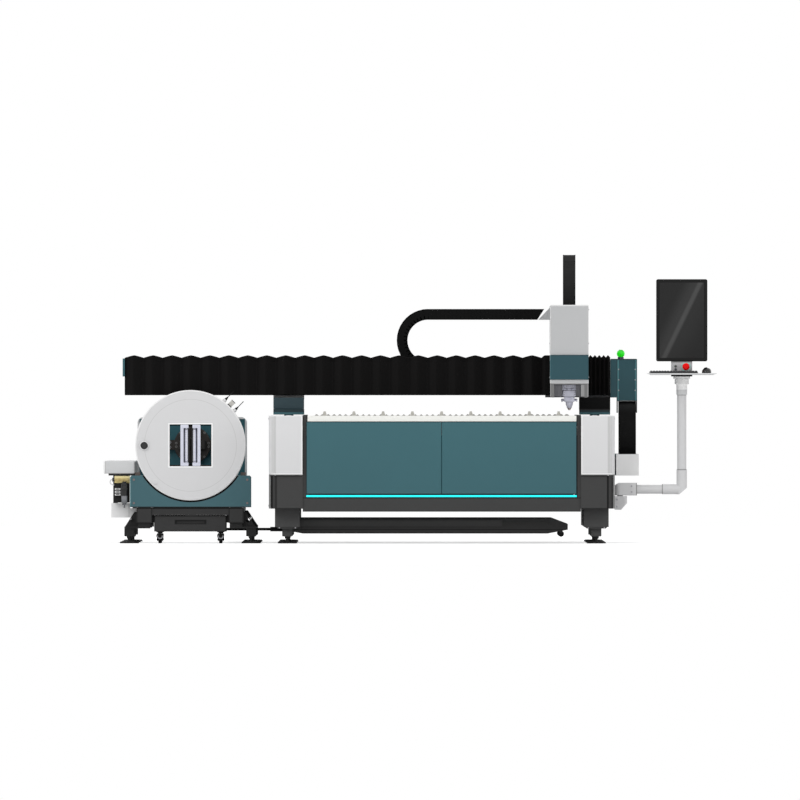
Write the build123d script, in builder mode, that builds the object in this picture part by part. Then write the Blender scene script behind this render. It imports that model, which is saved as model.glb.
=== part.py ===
from build123d import *
import os
from math import cos, pi, radians, sin

os.makedirs("parts", exist_ok=True)

# Sheet and tube laser cutting machine, millimetres, +X right, +Y to the back, +Z up, floor at Z 0.

# Driving dimensions of the sheet bed
BED_MID = 206.5
BED_HALF_LENGTH = 2000.0
BEAM_IN = 903.0
BEAM_OUT = 1084.0
COVER_OUT = 1123.0
BEAM_BOTTOM = 226.0
COVER_BOTTOM = 441.0
BEAM_TOP = 815.0
COVER_TOP = 830.0
PANEL_BOTTOM = 321.0
PANEL_TOP = 792.0
PANEL_LEFT = -673.0
PANEL_RIGHT = 1082.0
PANEL_FRONT = -1985.0
RAIL_AT = 995.0
LEG_STATIONS = (-1800.0, 0.0, 1800.0)
LEG_IN = 923.0
LEG_BOTTOM = 107.0
FOOT_TOP = 45.0
PAD_RADIUS = 62.5

# Driving dimensions of the slat table
TABLE_LEFT = -665.0
TABLE_RIGHT = 1080.0
TABLE_FRONT = -1955.0
TABLE_BACK = 1340.0
TABLE_WALL = 30.0
TABLE_BOTTOM = 700.0
SLAT_COUNT = 29
SLAT_PITCH = 110.0
SLAT_FIRST = -1840.0
TOOTH_PITCH = 190.0
TOOTH_FIRST = -554.5
SLAT_TIP = 839.0
FRONT_TIP = 859.0

# Driving dimensions of the gantry
GANTRY_Y = -1400.0
GANTRY_TOP = 1202.0
GANTRY_BOTTOM = 963.0
BEAM_HALF_DEPTH = 130.0
BELLOWS_LEFT = -1869.0
BELLOWS_RIGHT = 1303.0
BELLOWS_FRONT = -1590.0
CARRIAGE_LEFT = 910.0
CARRIAGE_RIGHT = 1160.0
FOLD_HEIGHT = 23.0

# Driving dimensions of the head
NOZZLE_X = 1035.0
NOZZLE_Y = -1775.0
NOZZLE_TIP = 866.0
HEAD_FRONT = -1880.0
HEAD_BACK = -1641.0
COVER_BACK = -1150.0

# Driving dimensions of the energy chains
X_CHAIN_BEND = 118.0
X_CHAIN_LOW = 1152.0
X_CHAIN_HIGH = 1489.5
X_CHAIN_HEIGHT = 69.0
X_CHAIN_CLAMP = 1138.0
X_CHAIN_FIXED = 1240.0
X_CHAIN_Y = (-1256.0, -1160.0)
Y_CHAIN_BEND = -1450.0
Y_CHAIN_LOW = 483.0
Y_CHAIN_HIGH = 891.0
Y_CHAIN_HEIGHT = 70.0
Y_CHAIN_CLAMP = -1400.0
Y_CHAIN_FIXED = 100.0
Y_CHAIN_X = (1355.0, 1469.0)
LINK_PITCH = 52.0

# Driving dimensions of the tube unit
CHUCK_X = -1427.0
CHUCK_Z = 637.6
DISC_RADIUS = 359.0
DISC_FRONT = -1700.0
DISC_BACK = -1650.0
WINDOW = 272.0
DRUM_RADIUS = 300.0
DRUM_BORE = 196.0
BASE_TOP = 441.0
TUBE_RAIL_TOP = 232.0
TUBE_LEFT = (-1778.0, -1677.0)
TUBE_RIGHT = (-1179.0, -1082.0)
TUBE_BACK = 1900.0
REAR_CHUCK_Y = 600.0

# Driving dimensions of the operator's console
PIVOT_X = 1365.0
CONSOLE_X = 1766.0
CONSOLE_Y = -1750.0
DESK_TOP = 1106.0
RUNNING_GAP = 0.05


def slab(x, y, z, mode=Mode.ADD):
    """A plate or block between two values on each axis, joined to the part being built."""
    with Locations(((x[0] + x[1]) / 2, (y[0] + y[1]) / 2, (z[0] + z[1]) / 2)):
        Box(x[1] - x[0], y[1] - y[0], z[1] - z[0], mode=mode)


def front_profile(points, y, mode=Mode.ADD):
    """An outline seen from the front, (x, z) points, carried from one Y to the other."""
    with BuildSketch(Plane.XZ.offset(-y[1])) as outline:
        Polygon(*points, align=None)
    extrude(outline.sketch, amount=y[1] - y[0], mode=mode)


def side_profile(points, x, mode=Mode.ADD):
    """An outline seen from the right, (y, z) points, carried from one X to the other."""
    with BuildSketch(Plane.YZ.offset(x[0])) as outline:
        Polygon(*points, align=None)
    extrude(outline.sketch, amount=x[1] - x[0], mode=mode)


def round_along_y(x, z, radius, y, mode=Mode.ADD):
    """A round bar or hole whose axis runs front to back."""
    with BuildSketch(Plane.XZ.offset(-y[1])) as outline:
        with Locations((x, z)):
            Circle(radius)
    extrude(outline.sketch, amount=y[1] - y[0], mode=mode)


def round_along_x(y, z, radius, x, mode=Mode.ADD):
    """A round bar or hole whose axis runs left to right."""
    with BuildSketch(Plane.YZ.offset(x[0])) as outline:
        with Locations((y, z)):
            Circle(radius)
    extrude(outline.sketch, amount=x[1] - x[0], mode=mode)


def round_along_z(x, y, radius, z, mode=Mode.ADD):
    """An upright round bar or hole."""
    with BuildSketch(Plane.XY.offset(z[0])) as outline:
        with Locations((x, y)):
            Circle(radius)
    extrude(outline.sketch, amount=z[1] - z[0], mode=mode)


def span(near, far, side):
    """The X range between two distances from the bed's middle, on its left or right side."""
    return tuple(sorted((BED_MID + side * near, BED_MID + side * far)))


def save(part, label):
    """Names a finished piece and writes its file."""
    part.label = label
    export_step(part, f"parts/{label}.step")


def group(label, solids):
    """Several like pieces of one kind, kept as separate solids under one name."""
    save(Compound(label=label, children=solids), label)


# Side beams: box beams along the bed with three welded legs each
def side_beam(side):
    with BuildPart() as beam:
        slab(span(BEAM_IN, BEAM_OUT, side), (-1985, 1985), (BEAM_BOTTOM, COVER_BOTTOM))
        slab(span(915, 1075, side), (-1950, 1950), (COVER_BOTTOM, BEAM_TOP))
        for station in LEG_STATIONS:
            slab(span(LEG_IN, BEAM_OUT, side), (station - 75, station + 75), (LEG_BOTTOM, BEAM_BOTTOM))
            left, right = span(932, 1075, side)
            bracket = [(left + 9, 97), (right - 9, 97), (right, LEG_BOTTOM), (left, LEG_BOTTOM)]
            front_profile(bracket, (station - 66, station + 66))
            slab(span(970, 1037, side), (station - 33, station + 33), (FOOT_TOP, 97))
        if side < 0:
            # grooved rails for the scrap tray, on the inner faces of the front and middle legs
            for leg_face, inward in ((-1725, 1), (-75, -1)):
                lip, groove = leg_face + inward * 21, leg_face + inward * 12
                side_profile([(leg_face - inward, 111), (lip, 111), (lip, 121.5), (groove, 121.5),
                              (groove, 138.5), (lip, 138.5), (lip, 150), (leg_face - inward, 150)],
                             (-877, 600))
            # hanger for the tie bar's sleeve
            slab((-872, -858), (-915, -885), (105, BEAM_BOTTOM + 1))
    return beam.part


save(side_beam(-1), "side_beam_left")
save(side_beam(1), "side_beam_right")


# Cross frames: the dark lower band and the two upright seals beside the panels
def cross_frame(end):
    outer, inner = end * 1975, end * 1900
    depth = tuple(sorted((outer, inner)))
    with BuildPart() as frame:
        slab(span(-BEAM_IN, BEAM_IN, 1), depth, (207, 298))
        slab(span(-872, 872, 1), tuple(sorted((end * 1950, end * 1890))), (222, 284), mode=Mode.SUBTRACT)
        for side in (-1, 1):
            slab(span(880, BEAM_IN, side), tuple(sorted((outer, end * 1935))), (217, 835))
    return frame.part


group("cross_frames", [cross_frame(-1), cross_frame(1)])


# Sheet panels: folded pans with an open back, and louvres in the side ones
def front_panel(left, right):
    with BuildPart() as panel:
        slab((left, right), (PANEL_FRONT, PANEL_FRONT + 20), (PANEL_BOTTOM, PANEL_TOP))
        front_edges = panel.faces().sort_by(Axis.Y)[0].edges()
        chamfer(front_edges, length=2)
        slab((left + 3, right - 3), (PANEL_FRONT + 3, PANEL_FRONT + 21), (PANEL_BOTTOM + 3, PANEL_TOP - 3),
             mode=Mode.SUBTRACT)
    return panel.part


SPLIT = 205.0
group("front_panels", [front_panel(PANEL_LEFT, SPLIT - 1.5), front_panel(SPLIT + 1.5, PANEL_RIGHT)])


def side_panel(side):
    with BuildPart() as panel:
        slab(span(1105, COVER_OUT, side), (-1497, 1497), (227, 826))
        slab(span(1100, COVER_OUT - 3, side), (-1480, 1480), (244, 809), mode=Mode.SUBTRACT)
        for bank in (-900, 900):
            for row in range(6):
                height = 560 + 30 * row
                slab(span(1100, 1130, side), (bank - 150, bank + 150), (height, height + 12),
                     mode=Mode.SUBTRACT)
    return panel.part


with BuildPart() as rear_panel:
    slab((PANEL_LEFT, PANEL_RIGHT), (1965, 1985), (300, PANEL_TOP))
    slab((PANEL_LEFT + 3, PANEL_RIGHT - 3), (1960, 1982), (303, PANEL_TOP - 3), mode=Mode.SUBTRACT)

with BuildPart() as deck:
    slab((-660, 1075), (TABLE_BACK, 1985), (PANEL_TOP, PANEL_TOP + 4))

group("outer_panels", [side_panel(-1), side_panel(1), rear_panel.part, deck.part])

with BuildPart() as led_strip:
    front_profile([(PANEL_LEFT, 300), (PANEL_RIGHT, 300), (PANEL_RIGHT, 316), (PANEL_LEFT, 316)],
                  (PANEL_FRONT + 3, PANEL_FRONT + 12))
    fillet(led_strip.edges().filter_by(Axis.X).group_by(Axis.Y)[0], radius=4)
save(led_strip.part, "led_strip")


# Post covers: sheet folded round each corner of the bed
CORNER_RADIUS = 45.0


def post_cover(side, end):
    outer_y = end * BED_HALF_LENGTH
    back_y = end * 1500
    near, far = BED_MID + side * 905, BED_MID + side * COVER_OUT
    with BuildPart() as cover:
        with BuildSketch(Plane.XY.offset(444)) as plan:
            Polygon((near, outer_y), (far, outer_y), (far, back_y), (near, back_y), align=None)
            corner = plan.vertices().sort_by_distance((far, outer_y, 444))[0]
            fillet(corner, radius=CORNER_RADIUS)
        extrude(amount=COVER_TOP - 444)
        with BuildSketch(Plane.XY.offset(440)) as hollow:
            Polygon((near - side * 5, outer_y - end * 4), (far - side * 4, outer_y - end * 4),
                    (far - side * 4, back_y - end * 5), (near - side * 5, back_y - end * 5), align=None)
            inner_corner = hollow.vertices().sort_by_distance((far, outer_y, 440))[0]
            fillet(inner_corner, radius=CORNER_RADIUS - 4)
        extrude(amount=COVER_TOP - 4 - 440, mode=Mode.SUBTRACT)
        rail_slot = tuple(sorted((end * 1955, back_y - end * 5)))
        slab(span(900, 1045, side), rail_slot, (COVER_TOP - 6, COVER_TOP + 2), mode=Mode.SUBTRACT)
        slab(span(1105, COVER_OUT, side), tuple(sorted((end * 1960, back_y))), (227, 446))
    return cover.part


group("post_covers", [post_cover(side, end) for end in (-1, 1) for side in (-1, 1)])


# Table frame: a ring of deep rails with a nosing in front and lugs to the side beams
with BuildPart() as table_frame:
    slab((TABLE_LEFT, TABLE_RIGHT), (TABLE_FRONT, TABLE_BACK), (TABLE_BOTTOM, COVER_TOP))
    slab((TABLE_LEFT + TABLE_WALL, TABLE_RIGHT - TABLE_WALL),
         (TABLE_FRONT + TABLE_WALL, TABLE_BACK - TABLE_WALL), (TABLE_BOTTOM - 1, COVER_TOP + 1),
         mode=Mode.SUBTRACT)
    slab((TABLE_LEFT, TABLE_RIGHT), (TABLE_FRONT - 25, TABLE_FRONT), (PANEL_TOP + 1, COVER_TOP))
    for lug_y in (-1700, -700, 300, 1250):
        slab((BED_MID - 915, TABLE_LEFT), (lug_y - 40, lug_y + 40), (TABLE_BOTTOM, 760))
        slab((TABLE_RIGHT, BED_MID + 915), (lug_y - 40, lug_y + 40), (TABLE_BOTTOM, 760))
save(table_frame.part, "table_frame")


# Slats: loose toothed strips across the table, resting on three cross bars
def slat_outline(tip):
    points = [(TABLE_LEFT + 35, 740), (TABLE_RIGHT - 35, 740), (TABLE_RIGHT - 35, 822)]
    teeth = int((TABLE_RIGHT - TABLE_LEFT) // TOOTH_PITCH)
    for tooth in reversed(range(teeth)):
        at = TOOTH_FIRST + tooth * TOOTH_PITCH
        points += [(at + 19, 822), (at, tip), (at - 19, 822)]
    points.append((TABLE_LEFT + 35, 822))
    return points


def slat(number):
    slat_y = SLAT_FIRST + number * SLAT_PITCH
    with BuildPart() as strip:
        front_profile(slat_outline(FRONT_TIP if number == 0 else SLAT_TIP), (slat_y - 3, slat_y + 3))
    return strip.part


def slat_support(x):
    with BuildPart() as bar:
        slab((x - 10, x + 10), (TABLE_FRONT + TABLE_WALL, TABLE_BACK - TABLE_WALL), (715, 740))
    return bar.part


group("slats", [slat(number) for number in range(SLAT_COUNT)] + [slat_support(x) for x in (-560, 205, 970)])


# Levelling feet: a turned pad, a stem and a lock nut under every leg
def levelling_foot(x, y):
    with BuildPart() as foot:
        with BuildSketch(Plane.XZ.offset(-y)):
            with Locations((x, 0)):
                Polygon((0, 0), (PAD_RADIUS, 0), (PAD_RADIUS, 8), (57, 13), (10, 13), (10, 32), (0, 32),
                        align=None)
        revolve(axis=Axis((x, y, 0), (0, 0, 1)))
        with BuildSketch(Plane.XY.offset(31)):
            with Locations((x, y)):
                RegularPolygon(17, 6)
        extrude(amount=FOOT_TOP - 31)
    return foot.part


TUBE_FOOT_X = (-1825.0, -1033.0)
TUBE_STATIONS = (-1640.0, 100.0, 1800.0)
BED_FOOT_X = tuple(BED_MID + side * 1003.5 for side in (-1, 1))
feet = [levelling_foot(x, y) for x in BED_FOOT_X for y in LEG_STATIONS]
feet += [levelling_foot(x, y) for x in TUBE_FOOT_X for y in TUBE_STATIONS]
group("levelling_feet", feet)


# Linear rails: waisted steel rails on the bed and on the tube bed
def linear_rail(x, base, height, width, y):
    waist = width / 2 - 3
    half = width / 2
    with BuildPart() as rail:
        front_profile([(x - half, base), (x + half, base), (x + half, base + height * 0.3),
                       (x + waist, base + height * 0.45), (x + waist, base + height * 0.6),
                       (x + half, base + height * 0.75), (x + half, base + height),
                       (x - half, base + height), (x - half, base + height * 0.75),
                       (x - waist, base + height * 0.6), (x - waist, base + height * 0.45),
                       (x - half, base + height * 0.3)], y)
    return rail.part


rails = [linear_rail(BED_MID + side * RAIL_AT, BEAM_TOP, 17, 30, (-1930, 1930)) for side in (-1, 1)]
rails += [linear_rail(x, TUBE_RAIL_TOP, 20, 24, (-1370, 1880)) for x in (-1727, -1130)]
group("linear_rails", rails)


# Chain trough: an open channel on the bed's right side for the long energy chain
with BuildPart() as chain_trough:
    slab((1340, 1487), (-1765, 1720), (441, 580))
    slab((1344, 1483), (-1761, 1716), (446, 590), mode=Mode.SUBTRACT)
    for bracket_y in (-1600, -700, 200, 1100):
        slab((BED_MID + COVER_OUT, 1340), (bracket_y - 30, bracket_y + 30), (470, 560))
save(chain_trough.part, "chain_trough")


# Energy chains: links hinged end to end, drawn as a notched ribbon
def chain_outline(centres, height):
    """Link corners on both sides of a line of hinge points, with a notch at each hinge."""
    gap, notch = 6.5, 6.0
    upper, lower = [], []
    for start, finish in zip(centres, centres[1:]):
        along = (finish - start).normalized()
        across = Vector(-along.Y, along.X) * (height / 2)
        shallow = across * (1 - notch / (height / 2))
        for edge, sign in ((upper, 1), (lower, -1)):
            edge.append(start + along * gap + across * sign)
            edge.append(finish - along * gap + across * sign)
            edge.append(finish + shallow * sign)
    ribbon = upper[:-1] + lower[-2::-1]
    return [(point.X, point.Y) for point in ribbon]


def bend_points(bend, low, high, first_end, last_end):
    """Hinge points from the fixed end, along the low run, round the bend and to the clamp."""
    radius = (high - low) / 2
    low_links = round(abs(first_end - bend) / LINK_PITCH)
    turn_links = round(pi * radius / LINK_PITCH)
    high_links = max(1, round(abs(last_end - bend) / LINK_PITCH))
    points = [Vector(first_end + (bend - first_end) * k / low_links, low) for k in range(low_links)]
    for k in range(turn_links + 1):
        angle = radians(-90 - 180 * k / turn_links)
        points.append(Vector(bend + radius * cos(angle), (low + high) / 2 + radius * sin(angle)))
    points += [Vector(bend + (last_end - bend) * k / high_links, high) for k in range(1, high_links + 1)]
    return points


with BuildPart() as x_drag_chain:
    x_line = bend_points(X_CHAIN_BEND, X_CHAIN_LOW, X_CHAIN_HIGH, X_CHAIN_FIXED, X_CHAIN_CLAMP)
    front_profile(chain_outline(x_line, X_CHAIN_HEIGHT), X_CHAIN_Y)
save(x_drag_chain.part, "x_drag_chain")

with BuildPart() as y_drag_chain:
    y_line = bend_points(Y_CHAIN_BEND, Y_CHAIN_LOW, Y_CHAIN_HIGH, Y_CHAIN_FIXED, Y_CHAIN_CLAMP)
    side_profile(chain_outline(y_line, Y_CHAIN_HEIGHT), Y_CHAIN_X)
save(y_drag_chain.part, "y_drag_chain")


# Gantry beam: a box beam with two rails in front and an angle behind for the energy chain
with BuildPart() as gantry_beam:
    beam_y = (GANTRY_Y - BEAM_HALF_DEPTH, GANTRY_Y + BEAM_HALF_DEPTH)
    slab((-1856, BELLOWS_RIGHT - 2), beam_y, (GANTRY_BOTTOM + 12, GANTRY_TOP - 12))
    chamfer(gantry_beam.edges().filter_by(Axis.X), length=8)
    for rail_z in (1040, 1150):
        slab((-1850, 1295), (beam_y[0] - 18, beam_y[0] + 2), (rail_z - 10, rail_z + 10))
    side_profile([(beam_y[1] - 2, 1113), (-1150, 1113), (-1150, 1132), (-1154, 1132), (-1154, 1117),
                  (beam_y[1] - 2, 1117)], (-1700, 1290))
    slab((880, 1303), (-1525, -1275), (949, GANTRY_BOTTOM + 13))
    slab((BELLOWS_LEFT, BELLOWS_LEFT + 14), (BELLOWS_FRONT + 10, -1275), (1085, GANTRY_TOP))
save(gantry_beam.part, "gantry_beam")


# Gantry feet: stepped blocks that straddle the bed's rails
def gantry_foot(side):
    with BuildPart() as foot:
        slab(span(895, 1095, side), (GANTRY_Y - 220, GANTRY_Y + 220), (837, 873))
        chamfer(foot.edges().filter_by(Axis.Z), length=10)
        slab(span(905, 1085, side), (GANTRY_Y - 180, GANTRY_Y + 180), (873, 936))
        slab(span(895, 1095, side), (GANTRY_Y - 130, GANTRY_Y + 130), (936, 949))
        for block_y in (GANTRY_Y - 150, GANTRY_Y + 150):
            slab(span(RAIL_AT - 30, RAIL_AT + 30, side), (block_y - 55, block_y + 55), (819, 838))
        slab(span(RAIL_AT - 16, RAIL_AT + 16, side), (GANTRY_Y - 230, GANTRY_Y + 230), (810, 833),
             mode=Mode.SUBTRACT)
        if side < 0:
            slab(span(895, 1095, side), (GANTRY_Y - 125, GANTRY_Y + 125), (948, GANTRY_BOTTOM + 12))
    return foot.part


group("gantry_feet", [gantry_foot(-1), gantry_foot(1)])


# End box: the drive housing at the right end, open below for the long chain
with BuildPart() as gantry_end_box:
    slab((BELLOWS_RIGHT + 1, 1345), (-1560, -1240), (948, 1200))
    slab((1345, 1477), (-1560, -1240), (926, 1200))
    chamfer(gantry_end_box.faces().sort_by(Axis.Z)[-1].edges(), length=4)
    for flange_x in ((1345, 1351), (1471, 1477)):
        slab(flange_x, (-1560, -1240), (849, 928))
    for screw_x in (1357, 1465):
        for screw_z in (940, 1186):
            round_along_y(screw_x, screw_z, 5, (-1563, -1559))
save(gantry_end_box.part, "gantry_end_box")

BEACON_X = 1371.5
with BuildPart() as beacon:
    with BuildSketch(Plane.XZ.offset(-GANTRY_Y)):
        with Locations((BEACON_X, 1200)):
            Polygon((0, 0), (20, 0), (20, 10), (16, 12), (24, 22), (26, 35), (22, 49), (11, 59), (0, 60),
                    align=None)
    revolve(axis=Axis((BEACON_X, GANTRY_Y, 0), (0, 0, 1)))
save(beacon.part, "beacon")


# Bellows: a pleated cover lofted through its folds, open at the back and below
def bellows_section(x, inset):
    """The cover's wall across the beam at one fold, pulled in by the depth of the fold."""
    skin = 5.0
    front, top, back = BELLOWS_FRONT + inset, GANTRY_TOP + FOLD_HEIGHT - inset, -1262.0
    low = GANTRY_BOTTOM
    with BuildSketch(Plane.YZ.offset(x)) as section:
        Polygon((back, top), (front, top), (front, low), (front + 45 - inset, low),
                (front + 45 - inset, low + skin), (front + skin, low + skin),
                (front + skin, top - skin), (back, top - skin), align=None)
    return section.sketch


def bellows(left, right, folds, shoulder):
    """Ruled loft through the valleys and crests of all folds."""
    pitch = (right - left) / folds
    with BuildPart() as cover:
        sections = [bellows_section(left, FOLD_HEIGHT)]
        for fold in range(folds):
            start = left + fold * pitch
            if shoulder:
                sections.append(bellows_section(start + pitch * 0.3, 2))
                sections.append(bellows_section(start + pitch * 0.7, 2))
            else:
                sections.append(bellows_section(start + pitch * 0.5, 0))
            sections.append(bellows_section(start + pitch, FOLD_HEIGHT))
        loft(sections, ruled=True)
    return cover.part


save(bellows(BELLOWS_LEFT + 14, CARRIAGE_LEFT, 22, True), "bellows_left")
save(bellows(CARRIAGE_RIGHT, BELLOWS_RIGHT - 1, 5, False), "bellows_right")


# Carriage plate: the saddle on the beam's rails, with an arm over the beam for the chain
with BuildPart() as carriage_plate:
    slab((CARRIAGE_LEFT + 5, CARRIAGE_RIGHT - 5), (HEAD_BACK + 1, -1600), (1016, 1500))
    slab((NOZZLE_X - 10, NOZZLE_X + 10), (HEAD_BACK - 11, HEAD_BACK + 2), (1100, 1480))
    slab((930, 1140), (-1601, -1551), (1022, 1170))
    for rail_z in (1040, 1150):
        slab((945, 1125), (-1552, -1533), (rail_z - 17, rail_z + 17))
        slab((900, 1170), (-1550, -1520), (rail_z - 10.5, rail_z + 10.5), mode=Mode.SUBTRACT)
    slab((960, 1110), (-1601, -1160), (1430, 1446))
    slab((X_CHAIN_CLAMP + 0.5, 1146), (-1601, -1160), (1430, 1530))
    slab((1100, 1146), (-1601, -1560), (1430, 1446))
    slab((1100, 1146), (-1270, -1160), (1430, 1446))
save(carriage_plate.part, "carriage_plate")


# Head cover: a folded housing in front of and over the beam, with the guide for the chain
with BuildPart() as head_cover:
    side_profile([(HEAD_FRONT, 1036), (HEAD_BACK, 1036), (HEAD_BACK, 1238), (COVER_BACK, 1238),
                  (COVER_BACK, 1550), (HEAD_FRONT, 1550)], (CARRIAGE_LEFT, CARRIAGE_RIGHT))
    chamfer(head_cover.faces().sort_by(Axis.Z)[-1].edges(), length=6)
    side_profile([(HEAD_FRONT + 5, 1030), (HEAD_BACK + 5, 1030), (HEAD_BACK + 5, 1230),
                  (COVER_BACK - 5, 1230), (COVER_BACK - 5, 1544), (HEAD_FRONT + 5, 1544)],
                 (CARRIAGE_LEFT + 5, CARRIAGE_RIGHT - 5), mode=Mode.SUBTRACT)
    slab((900, 920), (X_CHAIN_Y[0] - 6, X_CHAIN_Y[1] + 5), (1230, 1530), mode=Mode.SUBTRACT)
    slab((990, 1080), (-1760, -1650), (1540, 1555), mode=Mode.SUBTRACT)
    front_profile([(834, 1454), (909, 1454), (909, 1532)], (X_CHAIN_Y[0] - 14, X_CHAIN_Y[0] - 8))
    slab((905, 916), (X_CHAIN_Y[0] - 14, X_CHAIN_Y[0] - 8), (1454, 1532))
save(head_cover.part, "head_cover")

with BuildPart() as head_plate:
    slab((CARRIAGE_LEFT, CARRIAGE_RIGHT), (HEAD_FRONT - 12, HEAD_FRONT), (1064, 1225))
    chamfer(head_plate.faces().sort_by(Axis.Y)[0].edges(), length=3)
save(head_plate.part, "head_plate")

with BuildPart() as head_shroud:
    slab((912, 1158), (HEAD_FRONT + 4, -1715), (948, 1036))
    fillet(head_shroud.edges().filter_by(Axis.Y).group_by(Axis.Z)[0], radius=10)
    slab((937, 1133), (HEAD_FRONT - 1, -1730), (940, 1031), mode=Mode.SUBTRACT)
    slab((937, 1133), (-1731, -1700), (940, 1022), mode=Mode.SUBTRACT)
    slab((950, 1120), (-1830, -1731), (1020, 1040), mode=Mode.SUBTRACT)
save(head_shroud.part, "head_shroud")


# Laser head: turned barrel, focus unit and sensor cone with two side knobs
with BuildPart() as laser_head:
    with BuildSketch(Plane.XZ.offset(-NOZZLE_Y)):
        with BuildLine():
            Polyline((NOZZLE_X, 1400), (NOZZLE_X + 34, 1400), (NOZZLE_X + 34, 1035), (NOZZLE_X + 41, 1030),
                     (NOZZLE_X + 41, 1007), (NOZZLE_X + 36, 1003), (NOZZLE_X + 36, 962),
                     (NOZZLE_X + 30, 948), (NOZZLE_X + 24, 944), (NOZZLE_X + 24, 922),
                     (NOZZLE_X + 14, 900), (NOZZLE_X + 5, NOZZLE_TIP),
                     (NOZZLE_X, NOZZLE_TIP), (NOZZLE_X, 1400))
        make_face()
    revolve(axis=Axis((NOZZLE_X, NOZZLE_Y, 0), (0, 0, 1)))
    round_along_x(NOZZLE_Y, 984, 15, (972, 1098))
    round_along_x(NOZZLE_Y, 984, 9, (966, 1104))
    round_along_x(NOZZLE_Y, 934, 7, (982, 1088))
    round_along_z(NOZZLE_X, NOZZLE_Y, 1.5, (NOZZLE_TIP - 1, 905), mode=Mode.SUBTRACT)
    slab((1000, 1070), (-1760, HEAD_BACK - 2), (1150, 1380))
    slab((NOZZLE_X - 10.4, NOZZLE_X + 10.4), (HEAD_BACK - 11.4, HEAD_BACK), (1140, 1390), mode=Mode.SUBTRACT)
save(laser_head.part, "laser_head")

Z_CHAIN_LEFT, Z_CHAIN_RIGHT = 994.0, 1075.0
with BuildPart() as z_drag_chain:
    z_radius, z_low, z_high = 34.0, 1400.0, 1834.0
    z_front, z_back = NOZZLE_Y + 30.0, NOZZLE_Y + 98.0
    steps = 8
    z_line = [Vector(z_front, z_low + (z_high - z_low) * k / 9) for k in range(9)]
    for k in range(steps + 1):
        angle = radians(180 - 180 * k / steps)
        z_line.append(Vector((z_front + z_back) / 2 + z_radius * cos(angle), z_high + z_radius * sin(angle)))
    z_line += [Vector(z_back, z_high - (z_high - 1500) * k / 7) for k in range(1, 8)]
    side_profile(chain_outline(z_line, 20), (Z_CHAIN_LEFT, Z_CHAIN_RIGHT))
save(z_drag_chain.part, "z_drag_chain")


# Scrap tray: a long folded trough with tapered ends, and a roller on a pin under each corner of its nose
TRAY_LEFT, TRAY_RIGHT = -828.0, 1025.7
TRAY_Y = (-1700.0, -100.0)
ROLLER_X, ROLLER_Z, ROLLER_RADIUS = 981.5, 62.0, 19.5
ROLLER_SPANS = ((-1682.0, -1650.0), (-150.0, -118.0))

with BuildPart() as scrap_tray:
    front_profile([(TRAY_LEFT, 89), (TRAY_LEFT + 131, 64), (894, 64), (TRAY_RIGHT, 89), (TRAY_RIGHT, 125.5),
                   (921, 165), (TRAY_LEFT + 105, 165), (TRAY_LEFT, 125.5)], TRAY_Y)
    front_profile([(TRAY_LEFT + 12, 128), (TRAY_LEFT + 108, 94), (890, 94), (TRAY_RIGHT - 12, 128),
                   (921, 180), (TRAY_LEFT + 105, 180)], (TRAY_Y[0] + 6, TRAY_Y[1] - 6), mode=Mode.SUBTRACT)
    for wall, outward in ((TRAY_Y[0], -1), (TRAY_Y[1], 1)):
        slab((-820, 900), sorted((wall - outward, wall + outward * 12)), (122, 138))
    for near, far in ROLLER_SPANS:
        round_along_y(ROLLER_X, ROLLER_Z, ROLLER_RADIUS + 4, (near - 1, far + 1), mode=Mode.SUBTRACT)
        for ear in ((near - 6, near - 1), (far + 1, far + 6)):
            front_profile([(974, 54), (989, 54), (993, 90), (970, 90)], ear)
        round_along_y(ROLLER_X, ROLLER_Z, 5, (near - 6, far + 6))
save(scrap_tray.part, "scrap_tray")


def tray_roller(y):
    with BuildPart() as roller:
        round_along_y(ROLLER_X, ROLLER_Z, ROLLER_RADIUS, y)
        chamfer(roller.edges().filter_by(GeomType.CIRCLE), length=2)
        round_along_y(ROLLER_X, ROLLER_Z, 5 + RUNNING_GAP, (y[0] - 1, y[1] + 1), mode=Mode.SUBTRACT)
    return roller.part


group("tray_rollers", [tray_roller(y) for y in ROLLER_SPANS])


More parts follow.
